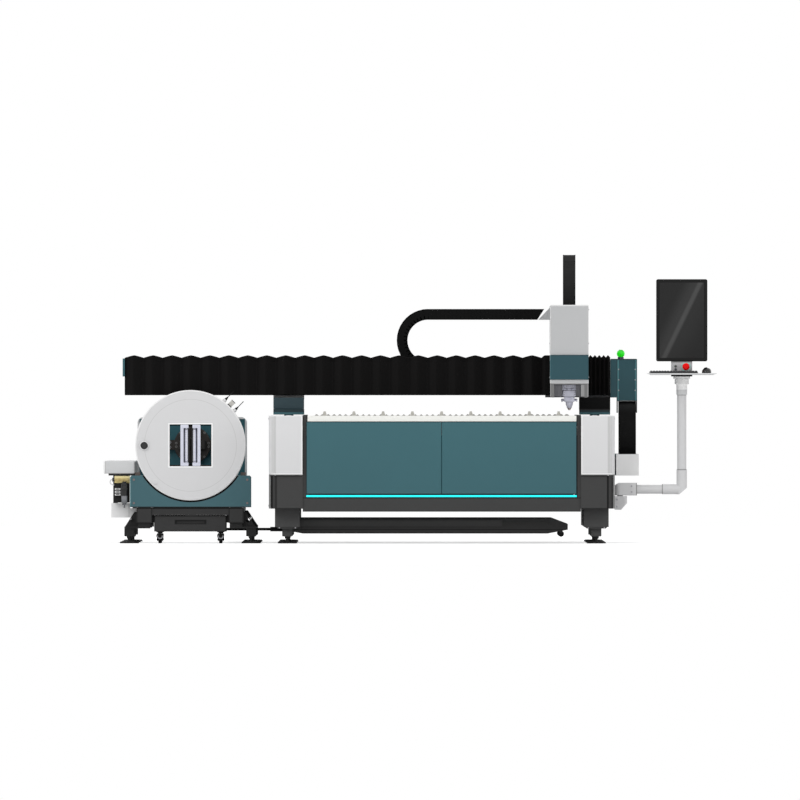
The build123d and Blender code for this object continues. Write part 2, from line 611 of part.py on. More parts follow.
# Tube bed: two long square tubes, cross rails, gusset plates and foot blocks in one welded frame,
# with the round tie bar that ends in a sleeve under the sheet bed
TIE_Y, TIE_Z = -900.0, 90.0
with BuildPart() as tube_frame:
    for tube in (TUBE_LEFT, TUBE_RIGHT):
        slab(tube, (-1690, TUBE_BACK), (132, TUBE_RAIL_TOP))
        slab((tube[0] + 8, tube[1] - 8), (-1682, TUBE_BACK - 8), (140, TUBE_RAIL_TOP - 8), mode=Mode.SUBTRACT)
    for station in (-1685, 60, 1760):
        slab((TUBE_LEFT[1], TUBE_RIGHT[0]), (station, station + 80), (184, 230))
    for station in TUBE_STATIONS:
        for foot_x, tube_side, outward in zip(TUBE_FOOT_X, (TUBE_LEFT[0], TUBE_RIGHT[1]), (-1, 1)):
            plate_y = (station - 40, station + 40)
            slab((foot_x - 32, foot_x + 32), (station - 32, station + 32), (FOOT_TOP, 97))
            slab(sorted((foot_x + outward * 32, tube_side - outward * 90)), plate_y, (97, 109))
            inner = tube_side - outward * 70
            front_profile([(foot_x + outward * 28, 109), (inner, 109), (inner, 132), (tube_side, 132),
                           (tube_side, 205), (tube_side + outward * 14, 205)], (station - 5, station + 5))
            hole_x = (foot_x + tube_side) / 2 + outward * 3
            round_along_y(hole_x, 150, 13, (station - 8, station + 8), mode=Mode.SUBTRACT)
            slab(sorted((tube_side - outward * 8, tube_side - outward * 90)), plate_y, (108, 133))
    for post_y in (300, 1500):
        slab((-1800, TUBE_LEFT[0] + 1), (post_y - 30, post_y + 30), (150, 225))
        slab((-1818, -1800), (post_y - 30, post_y + 30), (150, 454))
    # tie bar and the lug that carries it
    slab((-1095, -1055), (TIE_Y - 10, TIE_Y + 10), (84, 133))
    round_along_x(TIE_Y, TIE_Z, 9, (-1241, -862))
    round_along_x(TIE_Y, TIE_Z, 15, (-911, -832))
save(tube_frame.part, "tube_frame")


# Chuck base: the teal pedestal with a round cut for the disc and the drum
with BuildPart() as chuck_base:
    slab((-1820, -1033), (-1695, -1400), (235, BASE_TOP))
    chamfer(chuck_base.edges().filter_by(Axis.Y).group_by(Axis.Z)[-1], length=10)
    round_along_y(CHUCK_X, CHUCK_Z, DISC_RADIUS + 10, (-1700, -1605), mode=Mode.SUBTRACT)
    round_along_y(CHUCK_X, CHUCK_Z, DRUM_RADIUS, (-1610, -1390), mode=Mode.SUBTRACT)
    slab((TUBE_LEFT[0] + 2, TUBE_RIGHT[1] - 2), (-1680, -1415), (230, 236), mode=Mode.SUBTRACT)
    for screw_x in (-1795, -1058):
        for screw_z in (262, 414):
            round_along_y(screw_x, screw_z, 7, (-1699, -1694))
    for block_x in (-1770, -1084):
        slab((block_x - 17, block_x + 17), (-1660, -1600), (BASE_TOP - 1, 462))
    for pad_x in (TUBE_LEFT, TUBE_RIGHT):
        slab((pad_x[0] + 10, pad_x[1] - 10), (-1680, -1410), (TUBE_RAIL_TOP, 237))
save(chuck_base.part, "chuck_base")


# Chuck disc: the turned front plate with a square window, a shallow ring and a rounded rim
KNOB_X, KNOB_Z = -1728.0, 636.0
LUG_X, LUG_Z = -1658.0, 402.0
RING_OUTER, RING_INNER = 301.0, 297.0
with BuildPart() as chuck_disc:
    round_along_y(CHUCK_X, CHUCK_Z, DISC_RADIUS, (DISC_FRONT, DISC_BACK))
    chamfer(chuck_disc.edges().filter_by(GeomType.CIRCLE).group_by(Axis.Y)[0], length=6)
    with BuildSketch(Plane.XZ.offset(-DISC_FRONT - 1)) as ring:
        with Locations((CHUCK_X, CHUCK_Z)):
            Circle(RING_OUTER)
            Circle(RING_INNER, mode=Mode.SUBTRACT)
    extrude(ring.sketch, amount=-3, mode=Mode.SUBTRACT)
    round_along_y(CHUCK_X, CHUCK_Z, DRUM_BORE - RUNNING_GAP, (DISC_BACK, -1470))
    slab((CHUCK_X - WINDOW / 2, CHUCK_X + WINDOW / 2), (DISC_FRONT - 1, -1460),
         (CHUCK_Z - WINDOW / 2, CHUCK_Z + WINDOW / 2), mode=Mode.SUBTRACT)
    round_along_y(KNOB_X, KNOB_Z, 23.5, (DISC_FRONT - 16, DISC_FRONT + 1))
    round_along_y(LUG_X, LUG_Z, 15, (DISC_FRONT - 8, DISC_FRONT + 1))
    for edge in (-1, 1):
        guide = sorted((CHUCK_Z + edge * 134.3, CHUCK_Z + edge * (WINDOW / 2 + 1)))
        slab((CHUCK_X - 132, CHUCK_X + 132), (DISC_FRONT + 10, DISC_BACK - 10), guide)
save(chuck_disc.part, "chuck_disc")


# Chuck jaws: two C-shaped frames that close from the sides, each with one upright roller on stub pins
JAW_HALF_HEIGHT = 134.0
JAW_WIDTH = 52.0
JAW_Y = (DISC_FRONT - 4, DISC_BACK + 12)
JAW_GAP = 13.0
ROLLER_Y = (JAW_Y[0] + JAW_Y[1]) / 2


def jaw(side):
    near, far = CHUCK_X + side * JAW_GAP, CHUCK_X + side * (JAW_GAP + JAW_WIDTH)
    middle = (near + far) / 2
    pin_x = CHUCK_X + side * (JAW_GAP + 14)
    with BuildPart() as frame:
        slab(sorted((near, far)), JAW_Y, (CHUCK_Z - JAW_HALF_HEIGHT, CHUCK_Z + JAW_HALF_HEIGHT))
        chamfer(frame.edges().filter_by(Axis.Y), length=3)
        slab(sorted((near - side, middle + side * 6)), (JAW_Y[0] - 1, JAW_Y[1] + 1),
             (CHUCK_Z - JAW_HALF_HEIGHT + 22, CHUCK_Z + JAW_HALF_HEIGHT - 22), mode=Mode.SUBTRACT)
        for end in (-1, 1):
            stub = sorted((CHUCK_Z + end * (JAW_HALF_HEIGHT - 34), CHUCK_Z + end * (JAW_HALF_HEIGHT - 20)))
            round_along_z(pin_x, ROLLER_Y, 5, stub)
        for bolt in (-110, -60, 0, 60, 110):
            round_along_y(far - side * 9, CHUCK_Z + bolt, 4, (JAW_Y[0] - 3, JAW_Y[0] + 1))
    return frame.part


def jaw_roller(side):
    pin_x = CHUCK_X + side * (JAW_GAP + 14)
    half = JAW_HALF_HEIGHT - 24
    with BuildPart() as roller:
        round_along_z(pin_x, ROLLER_Y, 11, (CHUCK_Z - half, CHUCK_Z + half))
        chamfer(roller.edges().filter_by(GeomType.CIRCLE), length=1.5)
        for end in (-1, 1):
            seat = sorted((CHUCK_Z + end * (half - 12), CHUCK_Z + end * (half + 1)))
            round_along_z(pin_x, ROLLER_Y, 5 + RUNNING_GAP, seat, mode=Mode.SUBTRACT)
    return roller.part


save(jaw(-1), "chuck_jaw_left")
save(jaw(1), "chuck_jaw_right")
save(jaw_roller(-1), "jaw_roller_left")
save(jaw_roller(1), "jaw_roller_right")


# Chuck drum: the standing bearing housing behind the disc, with the air ring and its two rim fittings
FITTING_ANGLE = 40.0
FITTING_STAGES = ((343, 372, 11), (372, 392, 7), (392, 420, 9), (420, 449, 4))
AIR_RING_RADIUS = DRUM_RADIUS + 45
with BuildPart() as chuck_drum:
    round_along_y(CHUCK_X, CHUCK_Z, DRUM_RADIUS, (-1640, -1450))
    round_along_y(CHUCK_X, CHUCK_Z, AIR_RING_RADIUS, (-1640, -1608))
    round_along_y(CHUCK_X, CHUCK_Z, 285, (-1451, -1425))
    round_along_y(CHUCK_X, CHUCK_Z, DRUM_BORE, (-1660, -1400), mode=Mode.SUBTRACT)
    rim_plane = Plane(origin=(CHUCK_X, -1624, CHUCK_Z),
                      x_dir=(cos(radians(FITTING_ANGLE)), 0, -sin(radians(FITTING_ANGLE))),
                      z_dir=(sin(radians(FITTING_ANGLE)), 0, cos(radians(FITTING_ANGLE))))
    for low, high, radius in FITTING_STAGES:
        with BuildSketch(rim_plane.offset(low - 6 if low == FITTING_STAGES[0][0] else low)):
            with Locations((-32.5, 0), (32.5, 0)):
                Circle(radius)
        extrude(amount=high - low + (6 if low == FITTING_STAGES[0][0] else 0))
    with BuildSketch(rim_plane.offset(376)):
        Rectangle(76, 22)
    extrude(amount=12)
save(chuck_drum.part, "chuck_drum")


# Rear chuck: a rounded housing on the tube rails with a turning disc in its bore
REAR_X = (-1787.0, -1070.0)
REAR_TOP = 820.0
SLEEVE_RADIUS = 105.0
with BuildPart() as rear_housing:
    with BuildSketch(Plane.XZ.offset(-REAR_CHUCK_Y - 300)) as rear_face:
        Polygon((REAR_X[0], 262), (REAR_X[1], 262), (REAR_X[1], REAR_TOP), (REAR_X[0], REAR_TOP), align=None)
        fillet(rear_face.vertices().group_by(Axis.Z)[-1], radius=38)
    extrude(amount=300)
    with BuildSketch(Plane.XZ.offset(-REAR_CHUCK_Y - 8)) as inset:
        Polygon((REAR_X[0] + 12, 274), (REAR_X[1] - 12, 274), (REAR_X[1] - 12, REAR_TOP - 12),
                (REAR_X[0] + 12, REAR_TOP - 12), align=None)
        fillet(inset.vertices().group_by(Axis.Z)[-1], radius=30)
    extrude(amount=10, mode=Mode.SUBTRACT)
    round_along_y(CHUCK_X, CHUCK_Z, SLEEVE_RADIUS + RUNNING_GAP, (REAR_CHUCK_Y - 5, REAR_CHUCK_Y + 305),
                  mode=Mode.SUBTRACT)
    for rail_x in (-1727, -1130):
        for block_y in (REAR_CHUCK_Y + 60, REAR_CHUCK_Y + 240):
            slab((rail_x - 26, rail_x + 26), (block_y - 45, block_y + 45), (238, 263))
        slab((rail_x - 12.6, rail_x + 12.6), (REAR_CHUCK_Y - 5, REAR_CHUCK_Y + 305), (236, 252.6),
             mode=Mode.SUBTRACT)
save(rear_housing.part, "rear_chuck_housing")

with BuildPart() as rear_disc:
    round_along_y(CHUCK_X, CHUCK_Z, 120, (REAR_CHUCK_Y - 46, REAR_CHUCK_Y + 6))
    chamfer(rear_disc.edges().filter_by(GeomType.CIRCLE).group_by(Axis.Y)[0], length=5)
    for side in (-1, 1):
        slab(sorted((CHUCK_X + side * 100, CHUCK_X + side * 168)), (REAR_CHUCK_Y - 40, REAR_CHUCK_Y - 4),
             (CHUCK_Z - 32, CHUCK_Z + 32))
    round_along_y(CHUCK_X, CHUCK_Z, SLEEVE_RADIUS, (REAR_CHUCK_Y + 5, REAR_CHUCK_Y + 295))
    round_along_y(CHUCK_X, CHUCK_Z, 45, (REAR_CHUCK_Y - 80, REAR_CHUCK_Y + 300), mode=Mode.SUBTRACT)
    for side in (-1, 1):
        for hole_z in (-16, 16):
            round_along_y(CHUCK_X + side * 150, CHUCK_Z + hole_z, 7, (REAR_CHUCK_Y - 60, REAR_CHUCK_Y),
                          mode=Mode.SUBTRACT)
save(rear_disc.part, "rear_chuck_disc")


def rear_jaw(side):
    with BuildPart() as clamp:
        slab(sorted((CHUCK_X + side * 16, CHUCK_X + side * 88)), (REAR_CHUCK_Y - 86, REAR_CHUCK_Y - 46.3),
             (CHUCK_Z - 26, CHUCK_Z + 26))
        chamfer(clamp.edges().filter_by(Axis.Z).group_by(Axis.Y)[0], length=8)
        slab(sorted((CHUCK_X + side * 10, CHUCK_X + side * 17)), (REAR_CHUCK_Y - 86, REAR_CHUCK_Y - 50),
             (CHUCK_Z - 12, CHUCK_Z + 12))
    return clamp.part


save(rear_jaw(-1), "rear_jaw_left")
save(rear_jaw(1), "rear_jaw_right")


# Feed duct and air unit at the left side of the tube bed
DUCT_X = (-1991.6, -1790.5)
DUCT_Z = (454.0, 535.0)
with BuildPart() as feed_duct:
    slab(DUCT_X, (-1660, 1850), DUCT_Z)
    chamfer(feed_duct.edges().filter_by(Axis.Y), length=5)
    slab((-1960, -1790), (-1655, -1600), (BASE_TOP, 455))
    slab((-1942, TUBE_LEFT[0]), (-1580, -1300), (168, 228))
    slab((-1942, -1822), (-1580, -1300), (227, 261))
    slab((-1930, -1900), (-1560, -1530), (260, 455))
save(feed_duct.part, "feed_duct")

with BuildPart() as air_manifold:
    slab((-1921, -1821), (-1650, -1612), (392, BASE_TOP))
    chamfer(air_manifold.edges().filter_by(Axis.X), length=5)
    round_along_x(-1631, 414, 13, (-1936, -1920))
    for port_x in (-1900, -1871, -1842):
        round_along_y(port_x, 414, 9, (-1660, -1649))
save(air_manifold.part, "air_manifold")

with BuildPart() as valve_panel:
    slab((-1923, -1822), (-1640, -1610), (265, 392))
    for valve in range(3):
        height = 317 + 18 * valve
        slab((-1919, -1882), (-1662, -1639), (height - 6, height + 6))
    slab((-1878, -1836), (-1662, -1639), (330, 385))
save(valve_panel.part, "valve_panel")

FILTER_X, FILTER_Y = -1857.0, -1683.0
with BuildPart() as filter_regulator:
    for radius, low, high in ((21, 308, 388), (14, 387, 402), (19, 262, 309), (13, 250, 263), (5, 230, 251)):
        round_along_z(FILTER_X, FILTER_Y, radius, (low, high))
    slab((FILTER_X - 17, FILTER_X + 17), (FILTER_Y - 21, FILTER_Y + 21), (345, 380))
    chamfer(filter_regulator.edges().filter_by(GeomType.CIRCLE).group_by(Axis.Z)[-1], length=3)
save(filter_regulator.part, "filter_regulator")


# Tube drawer: an open wheeled box between the tubes with a recessed grip
DRAWER_X = (-1663.0, -1194.0)
DRAWER_Y = (-1672.0, -1000.0)
CASTOR_X = (-1626.0, -1231.0)
CASTOR_Y = (-1625.0, -1050.0)
WHEEL_RADIUS = 25.0
DRAWER_BOTTOM = 77.0


def castor_fork(x, y, top):
    with BuildPart() as fork:
        slab((x - 23, x + 23), (y - 23, y + 23), (72, top))
        round_along_z(x, y, 14, (60, 73))
        front_profile([(x - 20, 62), (x + 20, 62), (x + 20, 50), (x - 20, 50)], (y - 14, y + 30))
        side_profile([(y - 14, 55), (y + 30, 55), (y + 26, 16), (y + 14, 16)], (x - 20, x + 20))
        slab((x - 14, x + 14), (y - 25, y + 50), (-1, 53.5), mode=Mode.SUBTRACT)
        round_along_x(y + 20, WHEEL_RADIUS, 4, (x - 22, x + 22))
    return fork.part


with BuildPart() as tube_drawer:
    slab(DRAWER_X, DRAWER_Y, (DRAWER_BOTTOM, 181))
    chamfer(tube_drawer.edges().filter_by(Axis.Z), length=6)
    slab((DRAWER_X[0] + 5, DRAWER_X[1] - 5), (DRAWER_Y[0] + 24, DRAWER_Y[1] - 5), (83, 190),
         mode=Mode.SUBTRACT)
    slab((-1527, -1326), (DRAWER_Y[0] - 1, DRAWER_Y[0] + 18), (126, 151), mode=Mode.SUBTRACT)
    fillet(tube_drawer.edges().filter_by(Axis.Y).filter_by_position(Axis.X, -1530, -1320)
           .filter_by_position(Axis.Z, 120, 155), radius=8)
    for castor_x in CASTOR_X:
        add(castor_fork(castor_x, CASTOR_Y[1], DRAWER_BOTTOM + 1))
save(tube_drawer.part, "tube_drawer")


def castor_wheel(x, y):
    with BuildPart() as wheel:
        round_along_x(y + 20, WHEEL_RADIUS, WHEEL_RADIUS, (x - 10, x + 10))
        chamfer(wheel.edges().filter_by(GeomType.CIRCLE), length=2.5)
        round_along_x(y + 20, WHEEL_RADIUS, 10, (x - 12.5, x + 12.5))
        round_along_x(y + 20, WHEEL_RADIUS, 4 + RUNNING_GAP, (x - 13, x + 13), mode=Mode.SUBTRACT)
    return wheel.part


for place, castor_x in zip(("left", "right"), CASTOR_X):
    save(castor_fork(castor_x, CASTOR_Y[0], DRAWER_BOTTOM - 0.3), f"castor_fork_{place}")
    save(castor_wheel(castor_x, CASTOR_Y[0]), f"castor_wheel_{place}")
group("rear_castor_wheels", [castor_wheel(x, CASTOR_Y[1]) for x in CASTOR_X])


# Console bracket: a cast bracket on the bed's right side with the upright pivot pin
PIVOT_RADIUS = 18.0
with BuildPart() as console_bracket:
    front_profile([(1331, 219), (1372, 219), (1410, 262), (1410, 308), (1331, 308)],
                  (CONSOLE_Y - 33, CONSOLE_Y + 33))
    fillet(console_bracket.edges().filter_by(Axis.Z).group_by(Axis.X)[-1], radius=20)
    slab((BED_MID + COVER_OUT, 1332), (CONSOLE_Y - 33, CONSOLE_Y + 33), (219, 308))
    round_along_z(PIVOT_X, CONSOLE_Y, PIVOT_RADIUS, (300, 388))
save(console_bracket.part, "console_bracket")


# Console arm: knuckle, level pipe, mitred elbow and upright pipe with a spigot for the desk
PIPE_RADIUS = 29.0
PIPE_Z = 352.0
SPIGOT_RADIUS = 20.0
with BuildPart() as console_arm:
    with BuildSketch(Plane.XY.offset(312)) as knuckle:
        with Locations((PIVOT_X, CONSOLE_Y)):
            Circle(33)
        Polygon((PIVOT_X, CONSOLE_Y - 33), (1474, CONSOLE_Y - 33), (1474, CONSOLE_Y + 33),
                (PIVOT_X, CONSOLE_Y + 33), align=None)
    extrude(amount=82)
    arm_depth = (CONSOLE_Y - 40, CONSOLE_Y + 40)
    front_profile([(1300, 360), (1366, 400), (1300, 400)], arm_depth, mode=Mode.SUBTRACT)
    round_along_x(CONSOLE_Y, PIPE_Z, PIPE_RADIUS, (1470, 1700))
    round_along_x(CONSOLE_Y, PIPE_Z + 1, PIPE_RADIUS + 4, (1638, CONSOLE_X))
    round_along_z(CONSOLE_X, CONSOLE_Y, PIPE_RADIUS + 5, (319, 480))
    front_profile([(1740, 310), (1810, 310), (1810, 372)], arm_depth, mode=Mode.SUBTRACT)
    round_along_z(CONSOLE_X, CONSOLE_Y, PIPE_RADIUS + 1, (470, 965.7))
    round_along_z(CONSOLE_X, CONSOLE_Y, SPIGOT_RADIUS, (960, 1030))
    round_along_z(PIVOT_X, CONSOLE_Y, PIVOT_RADIUS + RUNNING_GAP, (300, 389), mode=Mode.SUBTRACT)
    slab((1320, 1415), arm_depth, (300, 312), mode=Mode.SUBTRACT)
save(console_arm.part, "console_arm")


# Desk: turned socket, collar and flange under a thin tapered tray
with BuildPart() as desk:
    with BuildSketch(Plane.XZ.offset(-CONSOLE_Y)):
        with BuildLine():
            Polyline((CONSOLE_X, 966), (CONSOLE_X + 35, 966), (CONSOLE_X + 35, 1033), (CONSOLE_X + 46, 1036),
                     (CONSOLE_X + 46, 1066), (CONSOLE_X + 40, 1069), (CONSOLE_X + 55, 1070),
                     (CONSOLE_X + 55, 1086), (CONSOLE_X, 1086), (CONSOLE_X, 966))
        make_face()
    revolve(axis=Axis((CONSOLE_X, CONSOLE_Y, 0), (0, 0, 1)))
    round_along_z(CONSOLE_X, CONSOLE_Y, SPIGOT_RADIUS + RUNNING_GAP, (960, 1031), mode=Mode.SUBTRACT)
    slab((1697, 1834), (-1830, -1690), (1085, 1096))
    front_profile([(1545, 1103), (1560, 1095), (1970, 1095), (1991.6, 1103), (1991.6, DESK_TOP),
                   (1540.5, DESK_TOP), (1540.5, 1104)], (-1925, -1650))
    fillet(desk.edges().filter_by(Axis.Z).filter_by_position(Axis.Z, 1100, 1108), radius=1)
save(desk.part, "desk")


# Control box: the housing that carries the screen, with bores for the stop and the two buttons
STOP_X, STOP_Z = 1793.0, 1149.0
BUTTON_X, BUTTON_HEIGHTS = 1726.0, (1151.0, 1131.0)
BOX_FRONT = -1775.0
STEM_RADIUS = 8.0
BUTTON_STEM = 4.0
with BuildPart() as control_box:
    slab((1697, 1834), (BOX_FRONT, -1700), (DESK_TOP, 1183))
    chamfer(control_box.edges().filter_by(Axis.Z), length=4)
    round_along_y(STOP_X, STOP_Z, 32, (BOX_FRONT - 4, BOX_FRONT + 1))
    round_along_y(STOP_X, STOP_Z, STEM_RADIUS + RUNNING_GAP, (BOX_FRONT - 5, BOX_FRONT + 40),
                  mode=Mode.SUBTRACT)
    for button_z in BUTTON_HEIGHTS:
        round_along_y(BUTTON_X, button_z, 8, (BOX_FRONT - 2, BOX_FRONT + 1))
        round_along_y(BUTTON_X, button_z, BUTTON_STEM + RUNNING_GAP, (BOX_FRONT - 3, BOX_FRONT + 20),
                      mode=Mode.SUBTRACT)
save(control_box.part, "control_box")

with BuildPart() as stop_button:
    with BuildSketch(Plane.XY.offset(STOP_Z)):
        with Locations((STOP_X, BOX_FRONT)):
            Polygon((0, 25), (STEM_RADIUS, 25), (STEM_RADIUS, -12), (23, -12), (23, -24), (15, -31), (0, -31),
                    align=None)
    revolve(axis=Axis((STOP_X, 0, STOP_Z), (0, 1, 0)))
save(stop_button.part, "stop_button")


def push_button(z):
    with BuildPart() as button:
        round_along_y(BUTTON_X, z, 6, (BOX_FRONT - 11, BOX_FRONT - 6))
        chamfer(button.edges().filter_by(GeomType.CIRCLE).group_by(Axis.Y)[0], length=1)
        round_along_y(BUTTON_X, z, BUTTON_STEM, (BOX_FRONT - 7, BOX_FRONT + 10))
    return button.part


save(push_button(BUTTON_HEIGHTS[0]), "start_button")
save(push_button(BUTTON_HEIGHTS[1]), "reset_button")


# Monitor: an upright screen in a shallow bezel with a bracket behind
MONITOR_X = (1600.0, 1932.5)
MONITOR_Z = (1183.0, 1717.0)
MONITOR_BACK, MONITOR_DEPTH, BEZEL = -1720.0, 42.0, 16.0
with BuildPart() as monitor:
    with BuildSketch(Plane.XZ.offset(-MONITOR_BACK)) as monitor_face:
        Polygon((MONITOR_X[0], MONITOR_Z[0]), (MONITOR_X[1], MONITOR_Z[0]), (MONITOR_X[1], MONITOR_Z[1]),
                (MONITOR_X[0], MONITOR_Z[1]), align=None)
        fillet(monitor_face.vertices(), radius=12)
    extrude(amount=MONITOR_DEPTH)
    slab((MONITOR_X[0] + BEZEL, MONITOR_X[1] - BEZEL), (-1765, MONITOR_BACK - MONITOR_DEPTH + 2),
         (MONITOR_Z[0] + BEZEL, MONITOR_Z[1] - BEZEL), mode=Mode.SUBTRACT)
    slab((CONSOLE_X - 50, CONSOLE_X + 50), (MONITOR_BACK - 1, -1705), (MONITOR_Z[0], 1330))
    chamfer(monitor.faces().sort_by(Axis.Y)[-1].edges(), length=4)
save(monitor.part, "monitor")


# Keyboard and mouse, lying on the desk
KEYBOARD_X = (1554.0, 1871.0)
KEY_ROWS, KEY_BANKS = 5, 3
KEY_ROW_PITCH, KEY_BANK_PITCH = 21.5, 104.0
with BuildPart() as keyboard:
    side_profile([(-1915, DESK_TOP), (-1792, DESK_TOP), (-1792, 1116), (-1800, 1118), (-1915, 1111)],
                 KEYBOARD_X)
    for row in range(KEY_ROWS):
        for bank in range(KEY_BANKS):
            key_x = KEYBOARD_X[0] + 6 + KEY_BANK_PITCH * bank
            key_y = -1905 + KEY_ROW_PITCH * row
            slab((key_x, key_x + 97), (key_y, key_y + 18), (1110, 1113.5 + 1.3 * row))
save(keyboard.part, "keyboard")

with BuildPart() as mouse:
    side_profile([(-1907, DESK_TOP), (-1793, DESK_TOP), (-1793, 1116), (-1812, 1134), (-1850, 1146),
                  (-1880, 1141), (-1907, 1118)], (1893.5, 1959.5))
    chamfer(mouse.edges().filter_by(Axis.X, reverse=True).filter_by(Axis.Y, reverse=True)
            .filter_by_position(Axis.Z, 1110, 1150), length=9)
save(mouse.part, "mouse")
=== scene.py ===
from math import cos, pi, radians, sin

import bmesh
import bpy
from mathutils import Matrix, Vector


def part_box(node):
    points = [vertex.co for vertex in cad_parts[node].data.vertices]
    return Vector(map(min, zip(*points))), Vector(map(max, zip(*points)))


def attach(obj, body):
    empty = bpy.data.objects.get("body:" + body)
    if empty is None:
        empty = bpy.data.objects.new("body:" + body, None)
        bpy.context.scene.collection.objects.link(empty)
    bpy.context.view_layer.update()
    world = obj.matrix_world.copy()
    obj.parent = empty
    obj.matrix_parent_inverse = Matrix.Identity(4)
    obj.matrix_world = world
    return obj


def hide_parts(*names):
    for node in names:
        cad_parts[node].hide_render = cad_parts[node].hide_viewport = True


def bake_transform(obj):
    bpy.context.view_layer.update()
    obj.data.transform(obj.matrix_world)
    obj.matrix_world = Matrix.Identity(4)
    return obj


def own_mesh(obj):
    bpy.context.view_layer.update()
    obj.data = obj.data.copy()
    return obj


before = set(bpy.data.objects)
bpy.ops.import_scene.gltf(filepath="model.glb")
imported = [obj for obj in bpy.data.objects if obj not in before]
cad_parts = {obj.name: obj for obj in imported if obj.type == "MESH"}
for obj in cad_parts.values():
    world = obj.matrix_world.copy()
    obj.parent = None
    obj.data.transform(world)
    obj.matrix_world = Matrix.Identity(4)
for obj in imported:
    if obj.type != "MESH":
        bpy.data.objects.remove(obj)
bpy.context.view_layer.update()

# Viewing place. The machine is seen square from the front, through a long lens far off, so that
# hardly anything narrows with depth. The photograph's frame is 5.2 m wide at the machine's front.
FRAME_WIDTH = 5.2
VIEW_X, VIEW_Z = -0.065, 0.932
LENS, SENSOR, FRONT_Y = 1650.0, 36.0, -1.7
view_distance = FRAME_WIDTH * LENS / SENSOR

bpy.ops.object.select_all(action="DESELECT")
bpy.ops.object.camera_add(location=(VIEW_X, FRONT_Y - view_distance, VIEW_Z), rotation=(pi / 2, 0, 0))
camera = bpy.context.object
camera.name = "camera"
camera.data.lens = LENS
camera.data.sensor_width = SENSOR
camera.data.clip_start = 1.0
camera.data.clip_end = 1000.0
bpy.context.scene.camera = camera
bpy.context.scene.view_settings.view_transform = "Standard"


# Studio. A pale floor carries the shadow, and the surroundings are plain white where the camera
# or a gloss looks at them, and a soft even light everywhere else.
class Value:
    """One socket of a finish. Plain arithmetic on it adds the matching Math nodes."""

    def __init__(self, socket):
        self.socket = socket

    def node(self, kind, settings, values, output=0):
        """Adds one node: its settings first, then what its sockets hold or are linked to."""
        tree = self.socket.id_data
        added = tree.nodes.new("ShaderNode" + kind)
        for name, setting in settings.items():
            setattr(added, name, setting)
        for key, value in values.items():
            if isinstance(value, Value):
                tree.links.new(value.socket, added.inputs[key])
            else:
                added.inputs[key].default_value = value
        return Value(added.outputs[output])

    def math(self, operation, first, second=0.0):
        return self.node("Math", {"operation": operation}, {0: first, 1: second})

    def __add__(self, other):
        return self.math("ADD", self, other)

    __radd__ = __add__

    def __mul__(self, other):
        return self.math("MULTIPLY", self, other)

    __rmul__ = __mul__

    def __sub__(self, other):
        return self.math("SUBTRACT", self, other)

    def __rsub__(self, other):
        return self.math("SUBTRACT", other, self)

    def __truediv__(self, other):
        return self.math("DIVIDE", self, other)

    def rise(self, low, high):
        """0 below low, 1 above high, and smooth between."""
        return self.node("MapRange", {"interpolation_type": "SMOOTHSTEP"}, {0: self, 1: low, 2: high})

    def between(self, low, high, soft):
        """1 between low and high, 0 outside, over a soft edge."""
        return self.rise(low - soft, low + soft) * (1 - self.rise(high - soft, high + soft))

    def blend(self, dark, light):
        """The first colour where this value is 0 and the second where it is 1."""
        first, second = (tint if isinstance(tint, Value) else (*tint, 1) for tint in (dark, light))
        return self.node("Mix", {"data_type": "RGBA"}, {0: self, 6: first, 7: second}, output=2)

    def shade(self, tint):
        """The tint made lighter or darker by this value."""
        return self.node("VectorMath", {"operation": "SCALE"}, {0: tint, 3: self})


surround = bpy.data.worlds.new("soft_white_surround")
bpy.context.scene.world = surround
surround.use_nodes = True
SURROUND_LIGHT = 0.60
background = surround.node_tree.nodes["Background"]
background.inputs["Color"].default_value = (1, 1, 1, 1)
rays = Value(background.outputs[0]).node("LightPath", {}, {}, output="Is Camera Ray")
sources = rays.socket.node.outputs
shown = rays.math("MAXIMUM", rays, Value(sources["Is Glossy Ray"]))
shown = shown.math("MAXIMUM", shown, Value(sources["Is Transmission Ray"]))
level = SURROUND_LIGHT + shown * (1 - SURROUND_LIGHT)
surround.node_tree.links.new(level.socket, background.inputs["Strength"])

FLOOR_SIZE = 60.0
bpy.ops.object.select_all(action="DESELECT")
bpy.ops.mesh.primitive_plane_add(size=FLOOR_SIZE, location=(0, 0, -0.0005))
floor = bpy.context.object
floor.name = "studio_floor"
floor_finish = bpy.data.materials.new("pale_floor")
floor_finish.use_nodes = True
floor_shader = floor_finish.node_tree.nodes["Principled BSDF"]
floor_shader.inputs["Base Color"].default_value = (0.84, 0.84, 0.84, 1)
floor_shader.inputs["Roughness"].default_value = 0.9
floor_shader.inputs["Specular IOR Level"].default_value = 0.1
floor_shader.inputs["Emission Color"].default_value = (1, 1, 1, 1)
FLOOR_LIFT = 0.55
seen = Value(floor_shader.outputs[0]).node("LightPath", {}, {}, output="Is Camera Ray")
floor_finish.node_tree.links.new((seen * FLOOR_LIFT).socket, floor_shader.inputs["Emission Strength"])
floor.data.materials.append(floor_finish)


def soft_lamp(name, place, aim, size, power):
    """A square lamp that faces the machine."""
    bpy.ops.object.select_all(action="DESELECT")
    turn = (Vector(aim) - Vector(place)).to_track_quat("-Z", "Y").to_euler()
    bpy.ops.object.light_add(type="AREA", location=place, rotation=turn)
    lamp = bpy.context.object
    lamp.name = name
    lamp.data.shape = "SQUARE"
    lamp.data.size = size
    lamp.data.energy = power


soft_lamp("key_lamp", (-5.5, -9.0, 6.5), (0, -1, 0.7), 6.0, 330)
soft_lamp("fill_lamp", (7.0, -7.5, 4.0), (0, -1, 0.7), 6.0, 150)
soft_lamp("back_lamp", (1.0, 9.0, 6.0), (0, 0, 0.8), 7.0, 300)


